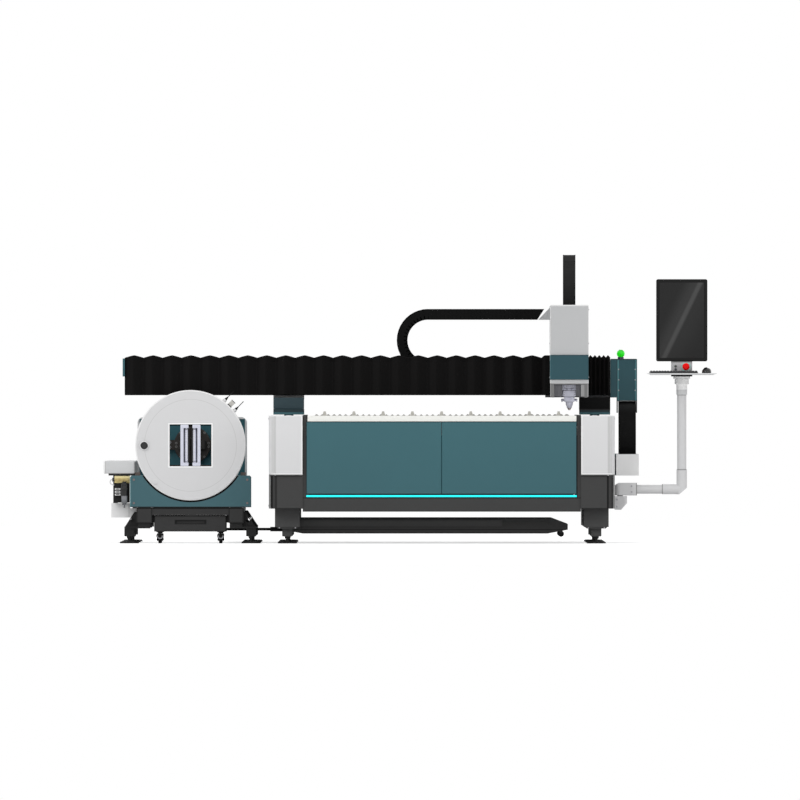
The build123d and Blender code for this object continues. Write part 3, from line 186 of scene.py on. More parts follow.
# Bed frame. Box beams, legs and lower bands of welded steel plate in a dark grey structure paint,
# with ground rails screwed on top and turned levelling feet under the legs.
def srgb(red, green=None, blue=None):
    """A colour as the photograph shows it, 0 to 255, in the linear values that a shader takes."""
    shares = [channel / 255 for channel in (red, red if green is None else green, red if blue is None else blue)]
    return tuple(share / 12.92 if share <= 0.04045 else ((share + 0.055) / 1.055) ** 2.4 for share in shares)


def new_finish(name, roughness, metallic=0.0, specular=0.5):
    """An empty finish: its material, its shader and the place on the piece as a vector."""
    material = bpy.data.materials.new(name)
    material.use_nodes = True
    shader = material.node_tree.nodes["Principled BSDF"]
    shader.inputs["Roughness"].default_value = roughness
    shader.inputs["Metallic"].default_value = metallic
    shader.inputs["Specular IOR Level"].default_value = specular
    place = Value(material.node_tree.nodes.new("ShaderNodeTexCoord").outputs["Object"])
    return material, shader, place


def connect(value, shader, socket):
    shader.id_data.links.new(value.socket, shader.inputs[socket])


def noise(place, scale, detail=2.0):
    """Soft random values around 0.5, scale of them to the metre."""
    return place.node("TexNoise", {}, {"Vector": place, "Scale": scale, "Detail": detail})


def drawn_out(place, x, y, z):
    """Noise stretched into streaks: its scale along each axis."""
    return noise(place.node("VectorMath", {"operation": "MULTIPLY"}, {0: place, 1: (x, y, z)}), 1.0)


def axes(place):
    """The place on the piece as its x, y and z."""
    split = place.node("SeparateXYZ", {}, {0: place})
    return tuple(Value(output) for output in split.socket.node.outputs)


def bumped(shader, height, distance, strength=1.0):
    normal = height.node("Bump", {}, {"Height": height, "Distance": distance, "Strength": strength})
    connect(normal, shader, "Normal")


EDGE_SOFTNESS = 0.0006


def box_area(x=None, y=None, z=None, soft=EDGE_SOFTNESS):
    """The stretch of a piece inside these ranges, as 1 inside and 0 outside."""
    def mask(place):
        share = 1.0
        for reach, value in zip((x, y, z), axes(place)):
            if reach is not None:
                share = value.between(*reach, soft) * share
        return share
    return mask


def ring_area(x, z, inner, outer, soft=EDGE_SOFTNESS):
    """The stretch between two circles about an axis that runs front to back."""
    def mask(place):
        across, _, up = axes(place)
        reach = (across - x) * (across - x) + (up - z) * (up - z)
        return reach.math("SQRT", reach).between(inner, outer, soft)
    return mask


def powder_coat(name, colour, roughness=0.5, specular=0.35, cloudiness=0.05, areas=(), height_shade=None):
    """Baked powder paint on steel: a fine orange peel, the faint clouds of a large sprayed face, and areas of another
    colour, many of them painted light and shade. The last argument paints it lighter or darker from one height to
    another, as painted light and shade."""
    material, shader, place = new_finish(name, roughness, specular=specular)
    cloud = noise(place, 1.7, 3.0)
    speck = noise(place, 420.0)
    tone = 1 - cloudiness + cloud * (2 * cloudiness) + (speck - 0.5) * 0.05
    # painted light and shade: lighter or darker with height
    if height_shade:
        low, high, change = height_shade
        tone = tone * (1 + axes(place)[2].rise(low, high) * change)
    for mask, tint in areas:
        colour = mask(place).blend(colour, tint)
    connect(tone.shade(colour), shader, "Base Color")
    connect(roughness - 0.08 + noise(place, 9.0) * 0.16, shader, "Roughness")
    bumped(shader, speck, 0.0001)
    return material


def coat(material, *names):
    """Gives CAD nodes their finish."""
    for name in names:
        for material_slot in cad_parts[name].material_slots:
            material_slot.material = material


BED_MID = 0.2065
structure_paint = powder_coat("dark_structure_paint", srgb(66), specular=0.2)
LEG_FRONT = {"y": (-3, -1.8), "z": (0.2255, 0.449)}
# The lower legs, below 0.2255 m, are painted lighter than the beams, as painted light against the shade they stand in.
leg_areas = [(box_area(z=(0.436, 0.442)), srgb(30)), (box_area(z=(0.2255, 0.231)), srgb(34)),
             (box_area(z=(0.05, 0.2255)), srgb(74)),
             (box_area(x=(BED_MID + 1.0715, BED_MID + 1.09), **LEG_FRONT), srgb(16)),
             (box_area(x=(BED_MID - 1.09, BED_MID - 1.0695), **LEG_FRONT), srgb(40))]
beam_paint = powder_coat("side_beam_paint", srgb(66), specular=0.2, areas=leg_areas)
coat(beam_paint, "side_beam_left", "side_beam_right")
band_paint = powder_coat("lower_band_paint", srgb(65), specular=0.2,
                         areas=[(box_area(z=(0.206, 0.2125)), srgb(22)),
                                (box_area(z=(0.293, 0.299)), srgb(40, 34, 32))])
coat(band_paint, "cross_frames")

steel, steel_shader, steel_place = new_finish("ground_rail_steel", 0.3, metallic=1.0)
streak = drawn_out(steel_place, 900, 6, 900)
rail_y = axes(steel_place)[1]
SCREW_PITCH = 0.06
nearest = rail_y.node("Math", {"operation": "PINGPONG"}, {0: rail_y, 1: SCREW_PITCH / 2})
across = None
for middle in (BED_MID - 0.995, BED_MID + 0.995, -1.727, -1.130):
    offset = axes(steel_place)[0] - middle
    across = offset * offset if across is None else across.math("MINIMUM", across, offset * offset)
plug = 1 - (across + nearest * nearest).rise(0.0045 ** 2, 0.0052 ** 2)
connect(plug.blend(srgb(190, 192, 196), srgb(60, 60, 62)), steel_shader, "Base Color")
connect(0.24 + streak * 0.2, steel_shader, "Roughness")
bumped(steel_shader, streak, 0.00004)
coat(steel, "linear_rails")


def mottled(name, tint, tone, sheen=None, grain=None, **look):
    """A plain finish with faint clouds. Tone and sheen are the least value, the span and the scale of
    its shade and its roughness, and grain is the scale and depth of its bumps."""
    material, shader, place = new_finish(name, **look)
    connect((tone[0] + noise(place, *tone[2:]) * tone[1]).shade(tint), shader, "Base Color")
    if sheen:
        connect(sheen[0] + noise(place, sheen[2]) * sheen[1], shader, "Roughness")
    if grain:
        bumped(shader, noise(place, grain[0]), grain[1])
    return material


oxide = mottled("black_oxide_steel", srgb(24), (0.8, 0.5, 30.0), (0.35, 0.3, 60.0), (700.0, 0.00006),
                roughness=0.5, specular=0.3)
coat(oxide, "levelling_feet")

# Sheet panels. Folded steel pans in a fine teal powder coat, hung between the posts. The band of
# cyan light below them is a plastic diffuser over a strip of lamps.
TEAL = (57, 101, 109)
panel_low, panel_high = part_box("front_panels")
# Painted shade along the panels' edges, darkest along the top edge, and the panels painted lighter towards the top.
panel_edge_shade = [(box_area(z=(panel_high[2] - 0.005, 1.0)), srgb(30, 44, 48)),
               (box_area(z=(0.0, panel_low[2] + 0.004)), srgb(38, 60, 66)),
               (box_area(x=(-2.0, panel_low[0] + 0.004)), srgb(40, 66, 72)),
               (box_area(x=(panel_high[0] - 0.004, 2.0)), srgb(40, 66, 72))]
coat(powder_coat("front_panel_paint", srgb(*TEAL), areas=panel_edge_shade, height_shade=(0.32, 0.80, 0.05)), "front_panels")
teal_coat = powder_coat("teal_powder_coat", srgb(*TEAL))
coat(teal_coat, "outer_panels")

light_band, band_shader, band_place = new_finish("cyan_light_band", 0.35)
CYAN = srgb(10, 246, 250)
led_x, _, led_z = axes(band_place)
spots = led_x.node("Math", {"operation": "PINGPONG"}, {0: led_x, 1: 0.0085}) / 0.0085
rim = led_z.between(0.3018, 0.3142, 0.0006)
connect(rim.blend(srgb(96, 78, 72), CYAN), band_shader, "Base Color")
connect((0.8 + spots * 0.2).math("MULTIPLY", 0.8 + spots * 0.2, rim).shade(CYAN), band_shader, "Emission Color")
band_shader.inputs["Emission Strength"].default_value = 0.55
coat(light_band, "led_strip")

# Post covers. Sheet folded round each corner of the bed and painted light grey, open on top where
# the beam's feet run along the rails.
post_low, post_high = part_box("post_covers")
# Painted light and shade on the covers' fronts: a thin highlight on each outer edge, two bands of shade beside it where
# the sheet folds round the corner, a highlight line on each inner edge, highlight lines along the top and bottom edges,
# and the covers painted lighter towards the top.
post_areas = []
for edge, inward in ((post_low[0], 1), (post_high[0], -1)):
    for near, far, tint in ((0.0, 0.003, 226), (0.003, 0.030, 209), (0.030, 0.046, 202), (0.210, 0.220, 246)):
        reach = sorted((edge + inward * near, edge + inward * far))
        post_areas.append((box_area(x=reach, y=(-3, -1.99), soft=0.002), srgb(tint)))
post_areas.append((box_area(z=(0.826, 0.9)), srgb(246)))
post_areas.append((box_area(z=(0.449, 0.455), y=(-3, -1.99)), srgb(246)))
post_areas.append((box_area(z=(0.2, 0.449)), srgb(150)))
coat(powder_coat("post_cover_paint", srgb(223, 223, 224), roughness=0.55, cloudiness=0.02, areas=post_areas,
                 height_shade=(0.44, 0.83, 0.03)), "post_covers")
light_paint = powder_coat("light_grey_powder_coat", srgb(232), roughness=0.55, cloudiness=0.02)
coat(light_paint, "chain_trough")
rail_paint = powder_coat("white_rail_paint", srgb(250, 250, 245), roughness=0.5, cloudiness=0.01)
coat(rail_paint, "table_frame")

# Screws. Socket cap screws of plated steel hold the covers and brackets. One is turned and broached,
# and the rest are copies.
SHARP = radians(30)


def deselect():
    bpy.ops.object.select_all(action="DESELECT")


def edit(piece, chosen=None):
    """Opens a piece in edit mode with only the faces selected that a test on their centre and normal picks."""
    deselect()
    piece.select_set(True)
    bpy.context.view_layer.objects.active = piece
    for element in (*piece.data.vertices, *piece.data.edges):
        element.select = False
    for face in piece.data.polygons:
        face.select = bool(chosen and chosen(face.center, face.normal))
    bpy.ops.object.mode_set(mode="EDIT")
    bpy.ops.mesh.select_mode(type="FACE")


def finish_edit():
    bpy.ops.object.mode_set(mode="OBJECT")


def apply_modifier(piece, kind, **settings):
    """Adds a modifier with these settings and applies it."""
    bpy.context.view_layer.objects.active = piece
    added = piece.modifiers.new(kind.lower(), kind)
    for name, setting in settings.items():
        setattr(added, name, setting)
    bpy.ops.object.modifier_apply(modifier=added.name)


def settle(piece, name, material=None):
    """Puts the piece's place into its mesh, and gives it a name and a finish."""
    deselect()
    piece.select_set(True)
    bpy.context.view_layer.objects.active = piece
    bpy.ops.object.transform_apply(location=True, rotation=True, scale=True)
    piece.name = name
    piece.data.materials.clear()
    if material:
        piece.data.materials.append(material)
    return piece


def strung(name, pattern, places, material):
    """Copies of a pattern piece at every place, joined as one piece."""
    whole = bmesh.new()
    for place in places:
        copy = pattern.data.copy()
        copy.transform(place)
        whole.from_mesh(copy)
        bpy.data.meshes.remove(copy)
    mesh = bpy.data.meshes.new(name)
    whole.to_mesh(mesh)
    whole.free()
    joined = bpy.data.objects.new(name, mesh)
    bpy.context.collection.objects.link(joined)
    mesh.materials.clear()
    mesh.materials.append(material)
    return joined


def fitted(piece, body, slot):
    """Fixes a piece to a body. The slot, the node that it belongs to, is not used."""
    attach(piece, body)
    return piece


def joined(name, pieces, material):
    """Several modelled pieces as one."""
    whole = strung(name, pieces[0], [Matrix.Identity(4)], material)
    deselect()
    for piece in pieces[1:]:
        piece.select_set(True)
    whole.select_set(True)
    bpy.context.view_layer.objects.active = whole
    if len(pieces) > 1:
        bpy.ops.object.join()
    bpy.data.objects.remove(pieces[0])
    return settle(bpy.context.object if len(pieces) > 1 else whole, name, material)


def block(low, high, bevel=0.0015, segments=2):
    """A plate or block between two corners, with its edges broken."""
    deselect()
    middle = [(a + b) / 2 for a, b in zip(low, high)]
    bpy.ops.mesh.primitive_cube_add(size=1, location=middle, scale=[b - a for a, b in zip(low, high)])
    plate = settle(bpy.context.object, "block")
    apply_modifier(plate, "BEVEL", width=bevel, segments=segments)
    return plate


def turned(profile, centre, axis="Z", sides=32):
    """A turned piece: (radius, along) points spun about an axis through a centre."""
    deselect()
    mesh = bpy.data.meshes.new("turned")
    mesh.from_pydata([(radius, 0, along) for radius, along in profile],
                     [(k, k + 1) for k in range(len(profile) - 1)], [])
    piece = bpy.data.objects.new("turned", mesh)
    bpy.context.collection.objects.link(piece)
    bpy.context.view_layer.objects.active = piece
    piece.select_set(True)
    bpy.ops.object.mode_set(mode="EDIT")
    bpy.ops.mesh.select_all(action="SELECT")
    bpy.ops.mesh.spin(steps=sides, angle=2 * pi, center=(0, 0, 0), axis=(0, 0, 1))
    bpy.ops.mesh.select_all(action="SELECT")
    bpy.ops.mesh.remove_doubles(threshold=0.00002)
    bpy.ops.mesh.normals_make_consistent(inside=False)
    bpy.ops.object.mode_set(mode="OBJECT")
    turn = {"X": Matrix.Rotation(pi / 2, 4, "Y"), "Y": Matrix.Rotation(-pi / 2, 4, "X"), "Z": Matrix.Identity(4)}[axis]
    mesh.transform(Matrix.Translation(centre) @ turn)
    bpy.ops.object.shade_smooth_by_angle(angle=SHARP)
    return piece


plated = mottled("plated_screw_steel", srgb(176, 176, 180), (0.8, 0.35, 90.0), (0.22, 0.2, 200.0),
                 roughness=0.3, metallic=0.9)

deselect()
bpy.ops.mesh.primitive_cylinder_add(vertices=18, radius=1.0, depth=1.0, location=(0, -0.5, 0), rotation=(pi / 2, 0, 0))
cap_screw = settle(bpy.context.object, "cap_screw")
edit(cap_screw, lambda centre, normal: normal.y < -0.9)
bpy.ops.mesh.inset(thickness=0.12)
bpy.ops.transform.translate(value=(0, -0.12, 0))
bpy.ops.mesh.inset(thickness=0.42)
bpy.ops.mesh.extrude_region_move(TRANSFORM_OT_translate={"value": (0, 0.55, 0)})
finish_edit()


def screws(name, body, slot, radius, height, places, material=plated):
    """Cap screws at (point, direction) places, their heads standing out along the direction."""
    size = Matrix.Diagonal((radius, height, radius, 1))
    turns = [Vector((0, -1, 0)).rotation_difference(Vector(way)).to_matrix().to_4x4() for _, way in places]
    matrices = [Matrix.Translation(point) @ turn @ size for (point, _), turn in zip(places, turns)]
    return fitted(strung(name, cap_screw, matrices, material), body, slot)


LEG_STATIONS = (-1.8, 0.0, 1.8)
FRONT, REAR = (0, -1, 0), (0, 1, 0)
bracket_places = []
for side in (-1, 1):
    for station in LEG_STATIONS:
        for offset in (-0.052, 0.052):
            x = BED_MID + side * 1.0035 + offset
            for face, way in ((-0.066, FRONT), (0.066, REAR)):
                bracket_places.append(((x, station + face, 0.1022), way))
screws("leg_bracket_bolts", "bed", "side_beam_left", 0.0045, 0.004, bracket_places)
panel_places = []
for side in (-1, 1):
    for y in (-1.465, -0.75, 0.0, 0.75, 1.465):
        for z in (0.245, 0.811):
            panel_places.append(((BED_MID + side * 1.123, y, z), (side, 0, 0)))
for x in (panel_low[0] + 0.025, -0.24, BED_MID, 0.65, panel_high[0] - 0.025):
    for z in (0.325, 0.767):
        panel_places.append(((x, 1.985, z), REAR))
screws("panel_screws", "bed", "outer_panels", 0.006, 0.004, panel_places)

# Gap plates. Narrow dark plates stand in the slots between the front legs and the post covers as the shade inside them,
# with near-black strips painted on them as the deepest shadow.
GAP_LOW, GAP_HIGH = 0.2265, 0.4485
slot_shadow_strips = [(box_area(x=(-0.9045, -0.8905)), srgb(10)), (box_area(x=(1.3095, 1.3175)), srgb(10))]
gap_plates = [block((-0.9045, -1.986, GAP_LOW), (-0.8775, -1.980, GAP_HIGH)),
              block((1.2905, -1.986, GAP_LOW), (1.3175, -1.980, GAP_HIGH))]
fitted(joined("post_gap_plates", gap_plates, powder_coat("gap_plate_paint", srgb(60), specular=0.2, areas=slot_shadow_strips)),
       "bed", "side_beam_left")

# Slats. Laser-cut strips of mild steel that stand loose in the table, each with a row of small
# teeth for the sheet to lie on. The first strip also has taller points, one for every fifth tooth.
table_low, table_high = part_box("table_frame")
slat_low, slat_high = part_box("slats")
SLAT_COUNT, SLAT_PITCH, SLAT_FIRST_Y = 29, 0.110, -1.840
TOOTH_PITCH, POINT_PITCH, FIRST_POINT = 0.038, 0.190, -0.5545
TOOTH_ROOT, TOOTH_TIP, POINT_TIP = 0.822, 0.839, slat_high[2]
SLAT_BOTTOM = 0.740
teeth = round((slat_high[0] - slat_low[0]) / TOOTH_PITCH)

deselect()
bpy.ops.mesh.primitive_grid_add(x_subdivisions=2 * teeth, y_subdivisions=1, size=1)
slat = bpy.context.object
for corner in slat.data.vertices:
    share = corner.co.x + 0.5
    edge = TOOTH_TIP if round(share * 2 * teeth) % 2 else TOOTH_ROOT
    corner.co = (slat_low[0] + share * (slat_high[0] - slat_low[0]), 0, edge if corner.co.y > 0 else SLAT_BOTTOM)
apply_modifier(slat, "SOLIDIFY", thickness=0.005, offset=0.0)

slat_steel, mill_shader, mill_place = new_finish("cut_mild_steel", 0.5, metallic=0.6)
burnt = noise(mill_place, 14.0, 4.0)
# The slats are darker below 0.80 m and lighter up to their teeth.
connect(axes(mill_place)[2].rise(0.80, 0.84).blend(srgb(120, 116, 112), srgb(186, 184, 180)), mill_shader, "Base Color")
connect(0.35 + burnt * 0.35, mill_shader, "Roughness")
bumped(mill_shader, burnt, 0.0004)
slat_places = [Matrix.Translation((0, SLAT_FIRST_Y + k * SLAT_PITCH, 0)) for k in range(SLAT_COUNT)]
slats = fitted(strung("toothed_slats", slat, slat_places, slat_steel), "bed", "slats")
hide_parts("slats")

deselect()
bpy.ops.mesh.primitive_cube_add(size=1)
point = bpy.context.object
for corner in point.data.vertices:
    top = corner.co.z > 0
    corner.co = ((0.007 if top else 0.017) * (1 if corner.co.x > 0 else -1), 0.003 * (1 if corner.co.y > 0 else -1),
                 POINT_TIP if top else TOOTH_ROOT)
apply_modifier(point, "BEVEL", width=0.001, segments=2)
point_places = [Matrix.Translation((FIRST_POINT + k * POINT_PITCH, SLAT_FIRST_Y, 0)) for k in range(9)]
fitted(strung("slat_points", point, point_places, powder_coat("pale_point_paint", srgb(214, 212, 204))), "bed", "slats")

support = block((-0.01, table_low[1] + 0.055, 0.715), (0.01, table_high[1] - 0.030, 0.740), bevel=0.002)
support_places = [Matrix.Translation((x, 0, 0)) for x in (-0.56, 0.205, 0.97)]
fitted(strung("slat_supports", support, support_places, structure_paint), "bed", "slats")
for pattern in (slat, point, support):
    bpy.data.objects.remove(pattern)

# Scrap tray. A long trough folded from dark sheet catches what falls through the slats. It is pulled
# out on two nylon rollers.
tray_paint = powder_coat("dark_tray_paint", srgb(66), specular=0.2, areas=[
    (box_area(z=(0.0, 0.070)), srgb(28)), (box_area(z=(0.1605, 0.2)), srgb(30)),
    (box_area(z=(0.086, 0.092)), srgb(40))])
coat(tray_paint, "scrap_tray")
nylon = mottled("black_nylon", srgb(22), (0.85, 0.3, 40.0), grain=(500.0, 0.00005), roughness=0.6, specular=0.2)
coat(nylon, "tray_rollers")

# Gantry. A steel box beam on two stepped and capped feet that run along the bed, a teal plate at its
# left end, and the drive housing with the signal lamp at its right end.
beam_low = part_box("gantry_beam")[0]
beam_areas = [(box_area(x=(-3, beam_low[0] + 0.0145)), srgb(52, 92, 100)),
              (box_area(x=(0.875, 1.31), z=(0.90, 0.9625)), srgb(104, 104, 106))]
coat(powder_coat("slate_beam_paint", srgb(56, 72, 79), areas=beam_areas), "gantry_beam")
LEDGE_TOP, STEP_TOP, BLOCK_TOP = 0.853, 0.873, 0.948
left_foot, right_foot = (-1.0, 0.0), (0.9, 1.4)
# The right foot above its step is painted near black, as the shade over that foot, and so is its cover.
foot_areas = [(box_area(z=(LEDGE_TOP, STEP_TOP)), srgb(24, 46, 52)),
              (box_area(x=left_foot, z=(STEP_TOP, BLOCK_TOP)), srgb(39, 59, 66)),
              (box_area(x=left_foot, z=(BLOCK_TOP, 1.0)), srgb(150)),
              (box_area(x=right_foot, z=(STEP_TOP - 0.008, 1.0)), srgb(14)),
              (box_area(z=(0.845, 0.848)), srgb(84, 132, 138))]
coat(powder_coat("gantry_foot_paint", srgb(40, 78, 86), areas=foot_areas), "gantry_feet")
foot_cover = block((1.1005, -1.585, 0.866), (1.3025, -1.215, 0.9485), bevel=0.003)
left_cover = block((-0.8885, -1.585, 0.8735), (-0.6895, -1.215, 0.9475), bevel=0.003)
fitted(joined("left_foot_cover", [left_cover], powder_coat("slate_cover_paint", srgb(40, 60, 67))), "gantry",
       "gantry_feet")
# Painted near black, as the shade over the right foot.
fitted(joined("right_foot_cover", [foot_cover], powder_coat("shaded_foot_cover_paint", srgb(9), specular=0.1)), "gantry",
       "gantry_feet")
box_low, box_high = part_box("gantry_end_box")
edge_highlight = srgb(76, 128, 134)
# Painted highlights down the box's two folded edges, and the box painted lighter towards the top; it is also darker
# beside its left edge, along its top and over its lower part.
end_areas = [(box_area(x=(1.349, 1.358)), edge_highlight), (box_area(x=(1.466, 1.472)), edge_highlight),
             (box_area(x=(1.3445, 1.349)), srgb(28, 48, 54)),
             (box_area(z=(box_high[2] - 0.006, 1.3)), srgb(24, 44, 50)),
             (box_area(z=(0.80, 0.929)), srgb(14, 26, 30))]
coat(powder_coat("end_box_paint", srgb(39, 77, 85), areas=end_areas, height_shade=(0.93, 1.20, 0.12)), "gantry_end_box")
end_plates = [((x, box_low[1] + 0.0032, z), FRONT) for x in (1.357, 1.465) for z in (0.995, 1.063, 1.131)]
screws("end_box_screws", "gantry", "gantry_end_box", 0.004, 0.003, end_plates)
BEAM_BACK = -1.270
beam_back = [((x, BEAM_BACK, z), REAR) for x in (-1.7, -1.2, -0.7, -0.2, 0.3, 0.8, 1.2) for z in (1.0, 1.165)]
screws("beam_back_screws", "gantry", "gantry_beam", 0.008, 0.006, beam_back)

lens, lens_shader, lens_place = new_finish("green_lamp_lens", 0.12)
lamp_low, lamp_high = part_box("beacon")
lamp_x, lamp_y, lamp_z = axes(lens_place)
LAMP_X, GANTRY_Y = (lamp_low[0] + lamp_high[0]) / 2, -1.4
dome = lamp_z.rise(lamp_low[2] + 0.0115, lamp_low[2] + 0.0125)
turn = (lamp_x - LAMP_X).math("ARCTAN2", lamp_x - LAMP_X, lamp_y - GANTRY_Y)
ribs = turn.node("Math", {"operation": "PINGPONG"}, {0: turn, 1: 0.26}) / 0.26
crown = 1 - lamp_z.rise(lamp_high[2] - 0.016, lamp_high[2] - 0.002) * 0.75
connect(dome.blend(srgb(80, 74, 104), srgb(30, 205, 26)), lens_shader, "Base Color")
connect((dome * crown * (0.35 + ribs * 0.65)).shade(srgb(40, 240, 34)), lens_shader, "Emission Color")
lens_shader.inputs["Emission Strength"].default_value = 0.8
bumped(lens_shader, ribs, 0.002)
coat(lens, "beacon")

# Bellows. Coated black cloth folded over the beam's front and top, with stiff plates riveted into its folds. On the
# machine the long one packs up at the left as the head travels, and the short one draws out.
cloth, cloth_shader, cloth_place = new_finish("coated_bellows_cloth", 0.7, specular=0.06)
weave = cloth_place.node("TexWave", {"bands_direction": "Z"}, {"Vector": cloth_place, "Scale": 220.0})
crease = noise(cloth_place, 9.0, 4.0)
fold_share = cloth_place.node("Attribute", {"attribute_name": "fold_share"}, {}, output="Fac")
# Painted light: one flank of each fold is painted 30 % lighter, as the light falls on it.
lit_flank = (fold_share.between(0.10, 0.42, 0.05) * 0.30 + 0.70) * (0.80 + crease * 0.4)
connect(lit_flank.shade(srgb(21, 20, 20)), cloth_shader, "Base Color")
connect(0.55 + crease * 0.25, cloth_shader, "Roughness")
bumped(cloth_shader, weave * 0.06 + crease, 0.0030, 0.5)

FOLD_DEPTH = 0.023


def folded_cover(name, low, high, stations, insets, shares):
    """A sheet over the beam from its back edge to the lip below its front. At each station along the
    beam it is pulled in by an inset, and its share of a fold is kept for the finish."""
    back, front, top, bottom, lip = high[1], low[1], high[2], low[2], 0.045
    path = [(back - (back - front) * k / 6, top, 0, 1) for k in range(6)]
    path += [(front + 0.004, top, -0.7, 0.7), (front, top - 0.004, -0.7, 0.7)]
    path += [(front, top + (bottom - top) * k / 6, -1, 0) for k in range(1, 6)]
    path += [(front, bottom + 0.006, -1, 0), (front + 0.012, bottom, -0.3, 0), (front + lip, bottom, 0, 0)]
    columns, rows = len(stations), len(path)
    deselect()
    bpy.ops.mesh.primitive_grid_add(x_subdivisions=columns - 1, y_subdivisions=rows - 1, size=1)
    cover = bpy.context.object
    kept_share = cover.data.attributes.new("fold_share", "FLOAT", "POINT")
    for corner in cover.data.vertices:
        column = round((corner.co.x + 0.5) * (columns - 1))
        y, z, out_y, out_z = path[round((0.5 - corner.co.y) * (rows - 1))]
        kept_share.data[corner.index].value = shares[column]
        corner.co = (stations[column], y - out_y * insets[column], z - out_z * insets[column])
    apply_modifier(cover, "SOLIDIFY", thickness=0.003, offset=-1.0)
    return settle(cover, name, cloth)


left_low, left_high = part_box("bellows_left")
LONG_FOLDS, CREST = 22, 1.25
CREST_SAMPLES = (0.0, 0.12, 0.25, 0.36, 0.44, 0.5, 0.56, 0.64, 0.75, 0.88)
LAST_FLAT = 0.055
fold_length = (left_high[0] - left_low[0] - LAST_FLAT) / LONG_FOLDS
shares = [sample for fold in range(LONG_FOLDS) for sample in CREST_SAMPLES] + [0.0, 0.3, 0.5, 0.5]
stations = [left_low[0] + (fold + sample) * fold_length for fold in range(LONG_FOLDS) for sample in CREST_SAMPLES]
stations += [left_high[0] - LAST_FLAT, left_high[0] - 0.040, left_high[0] - 0.030, left_high[0]]
insets = [FOLD_DEPTH * abs(2 * share - 1) ** CREST for share in shares[:-4]] + [FOLD_DEPTH, 0.004, 0.0, 0.0]
long_cover = folded_cover("long_bellows", left_low, left_high, stations, insets, shares)
RIVET_HEIGHTS = (0.990, 1.120)
deselect()
bpy.ops.mesh.primitive_cylinder_add(vertices=8, radius=0.0028, depth=0.002, rotation=(pi / 2, 0, 0))
rivet = settle(bpy.context.object, "rivet")
rivet_places = []
for fold in range(LONG_FOLDS):
    for height in RIVET_HEIGHTS:
        crest_x = left_low[0] + (fold + 0.5) * fold_length
        rivet_places.append(Matrix.Translation((crest_x, left_low[1] - 0.0005, height)))
rivets = strung("rivets", rivet, rivet_places, cloth)
long_cover = joined("long_bellows", [long_cover, rivets], cloth)
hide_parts("bellows_left")
fitted(long_cover, "gantry", "bellows_left")
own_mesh(long_cover)

right_low, right_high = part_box("bellows_right")
SHORT_CRESTS, PLEATS_PER_CREST = 5, 4
steps = SHORT_CRESTS * PLEATS_PER_CREST * 2
shares = [(k / (2 * PLEATS_PER_CREST)) % 1.0 for k in range(steps + 1)]
stations = [right_low[0] + (right_high[0] - right_low[0]) * k / steps for k in range(steps + 1)]
insets = [0.0215 * abs(2 * share - 1) + 0.0015 * (k % 2) for k, share in enumerate(shares)]
short_cover = folded_cover("short_bellows", right_low, right_high, stations, insets, shares)
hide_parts("bellows_right")
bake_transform(short_cover)
bpy.data.objects.remove(rivet)

# Energy chains. Black nylon links hinged end to end: two side plates with a pin boss at each hinge,
# closed by snap-on lids. The long ones run level and roll over at the bend, and the small one stands
# upright beside the head.
def chain_link(length, width, height, material, plate=0.008, lip=0.006):
    """One closed link along X, with its side plates upright and its width along Y. The raised lips along
    its edges are marked for the finish."""
    parts = []
    for side in (-1, 1):
        low, high = sorted((side * width / 2, side * (width / 2 - plate)))
        parts.append(block((-length / 2, low, -height / 2), (length / 2, high, height / 2),
                           bevel=min(0.0012, length / 8), segments=1))
    for level in (-1, 1):
        low, high = sorted((level * (height / 2 - 0.001), level * (height / 2 - 0.005)))
        parts.append(block((-length / 2, -width / 2 + plate, low), (length / 2, width / 2 - plate, high),
                           bevel=min(0.0008, length / 8), segments=1))
        for side in (-1, 1):
            near, far = sorted((side * (width / 2 + 0.0006), side * (width / 2 - 0.002)))
            bottom, top = sorted((level * (height / 2 + 0.0004), level * (height / 2 - lip)))
            parts.append(block((-length / 2, near, bottom), (length / 2, far, top), bevel=min(0.0006, length / 8),
                               segments=1))
            kept_lip = parts[-1].data.attributes.new("lip", "FLOAT", "POINT")
            kept_lip.data.foreach_set("value", [1.0] * len(parts[-1].data.vertices))
    if length > 0.01:
        bpy.ops.mesh.primitive_cylinder_add(vertices=10, radius=height * 0.14, depth=width + 0.001,
                                            location=(length / 2, 0, 0), rotation=(pi / 2, 0, 0))
        parts.append(settle(bpy.context.object, "pin"))
    return joined("chain_link", parts, material)


def straight_run(start, finish, links, turn):
    """Places of links in a straight row from one (along, height) point to another."""
    step = (Vector(finish) - Vector(start)) / links
    middles = [Vector(start) + step * (k + 0.5) for k in range(links)]
    return [turn(middle.x, middle.y, step.angle_signed(Vector((1, 0)))) for middle in middles]


def bend_run(centre, radius, links, first, last, turn):
    """Places of links round a bend between two angles in degrees."""
    places = []
    for k in range(links):
        angle = radians(first + (last - first) * (k + 0.5) / links)
        heading = angle + (pi / 2 if last > first else -pi / 2)
        places.append(turn(centre[0] + radius * cos(angle), centre[1] + radius * sin(angle), heading))
    return places


def link_count(length, pitch):
    return max(1, round(length / pitch))


def cut_off(piece, point, away):
    """Cuts a piece at a plane, closes the cut, and drops what lies beyond it."""
    edit(piece)
    bpy.ops.mesh.select_all(action="SELECT")
    bpy.ops.mesh.bisect(plane_co=point, plane_no=away, use_fill=True, clear_outer=True)
    finish_edit()
    return piece


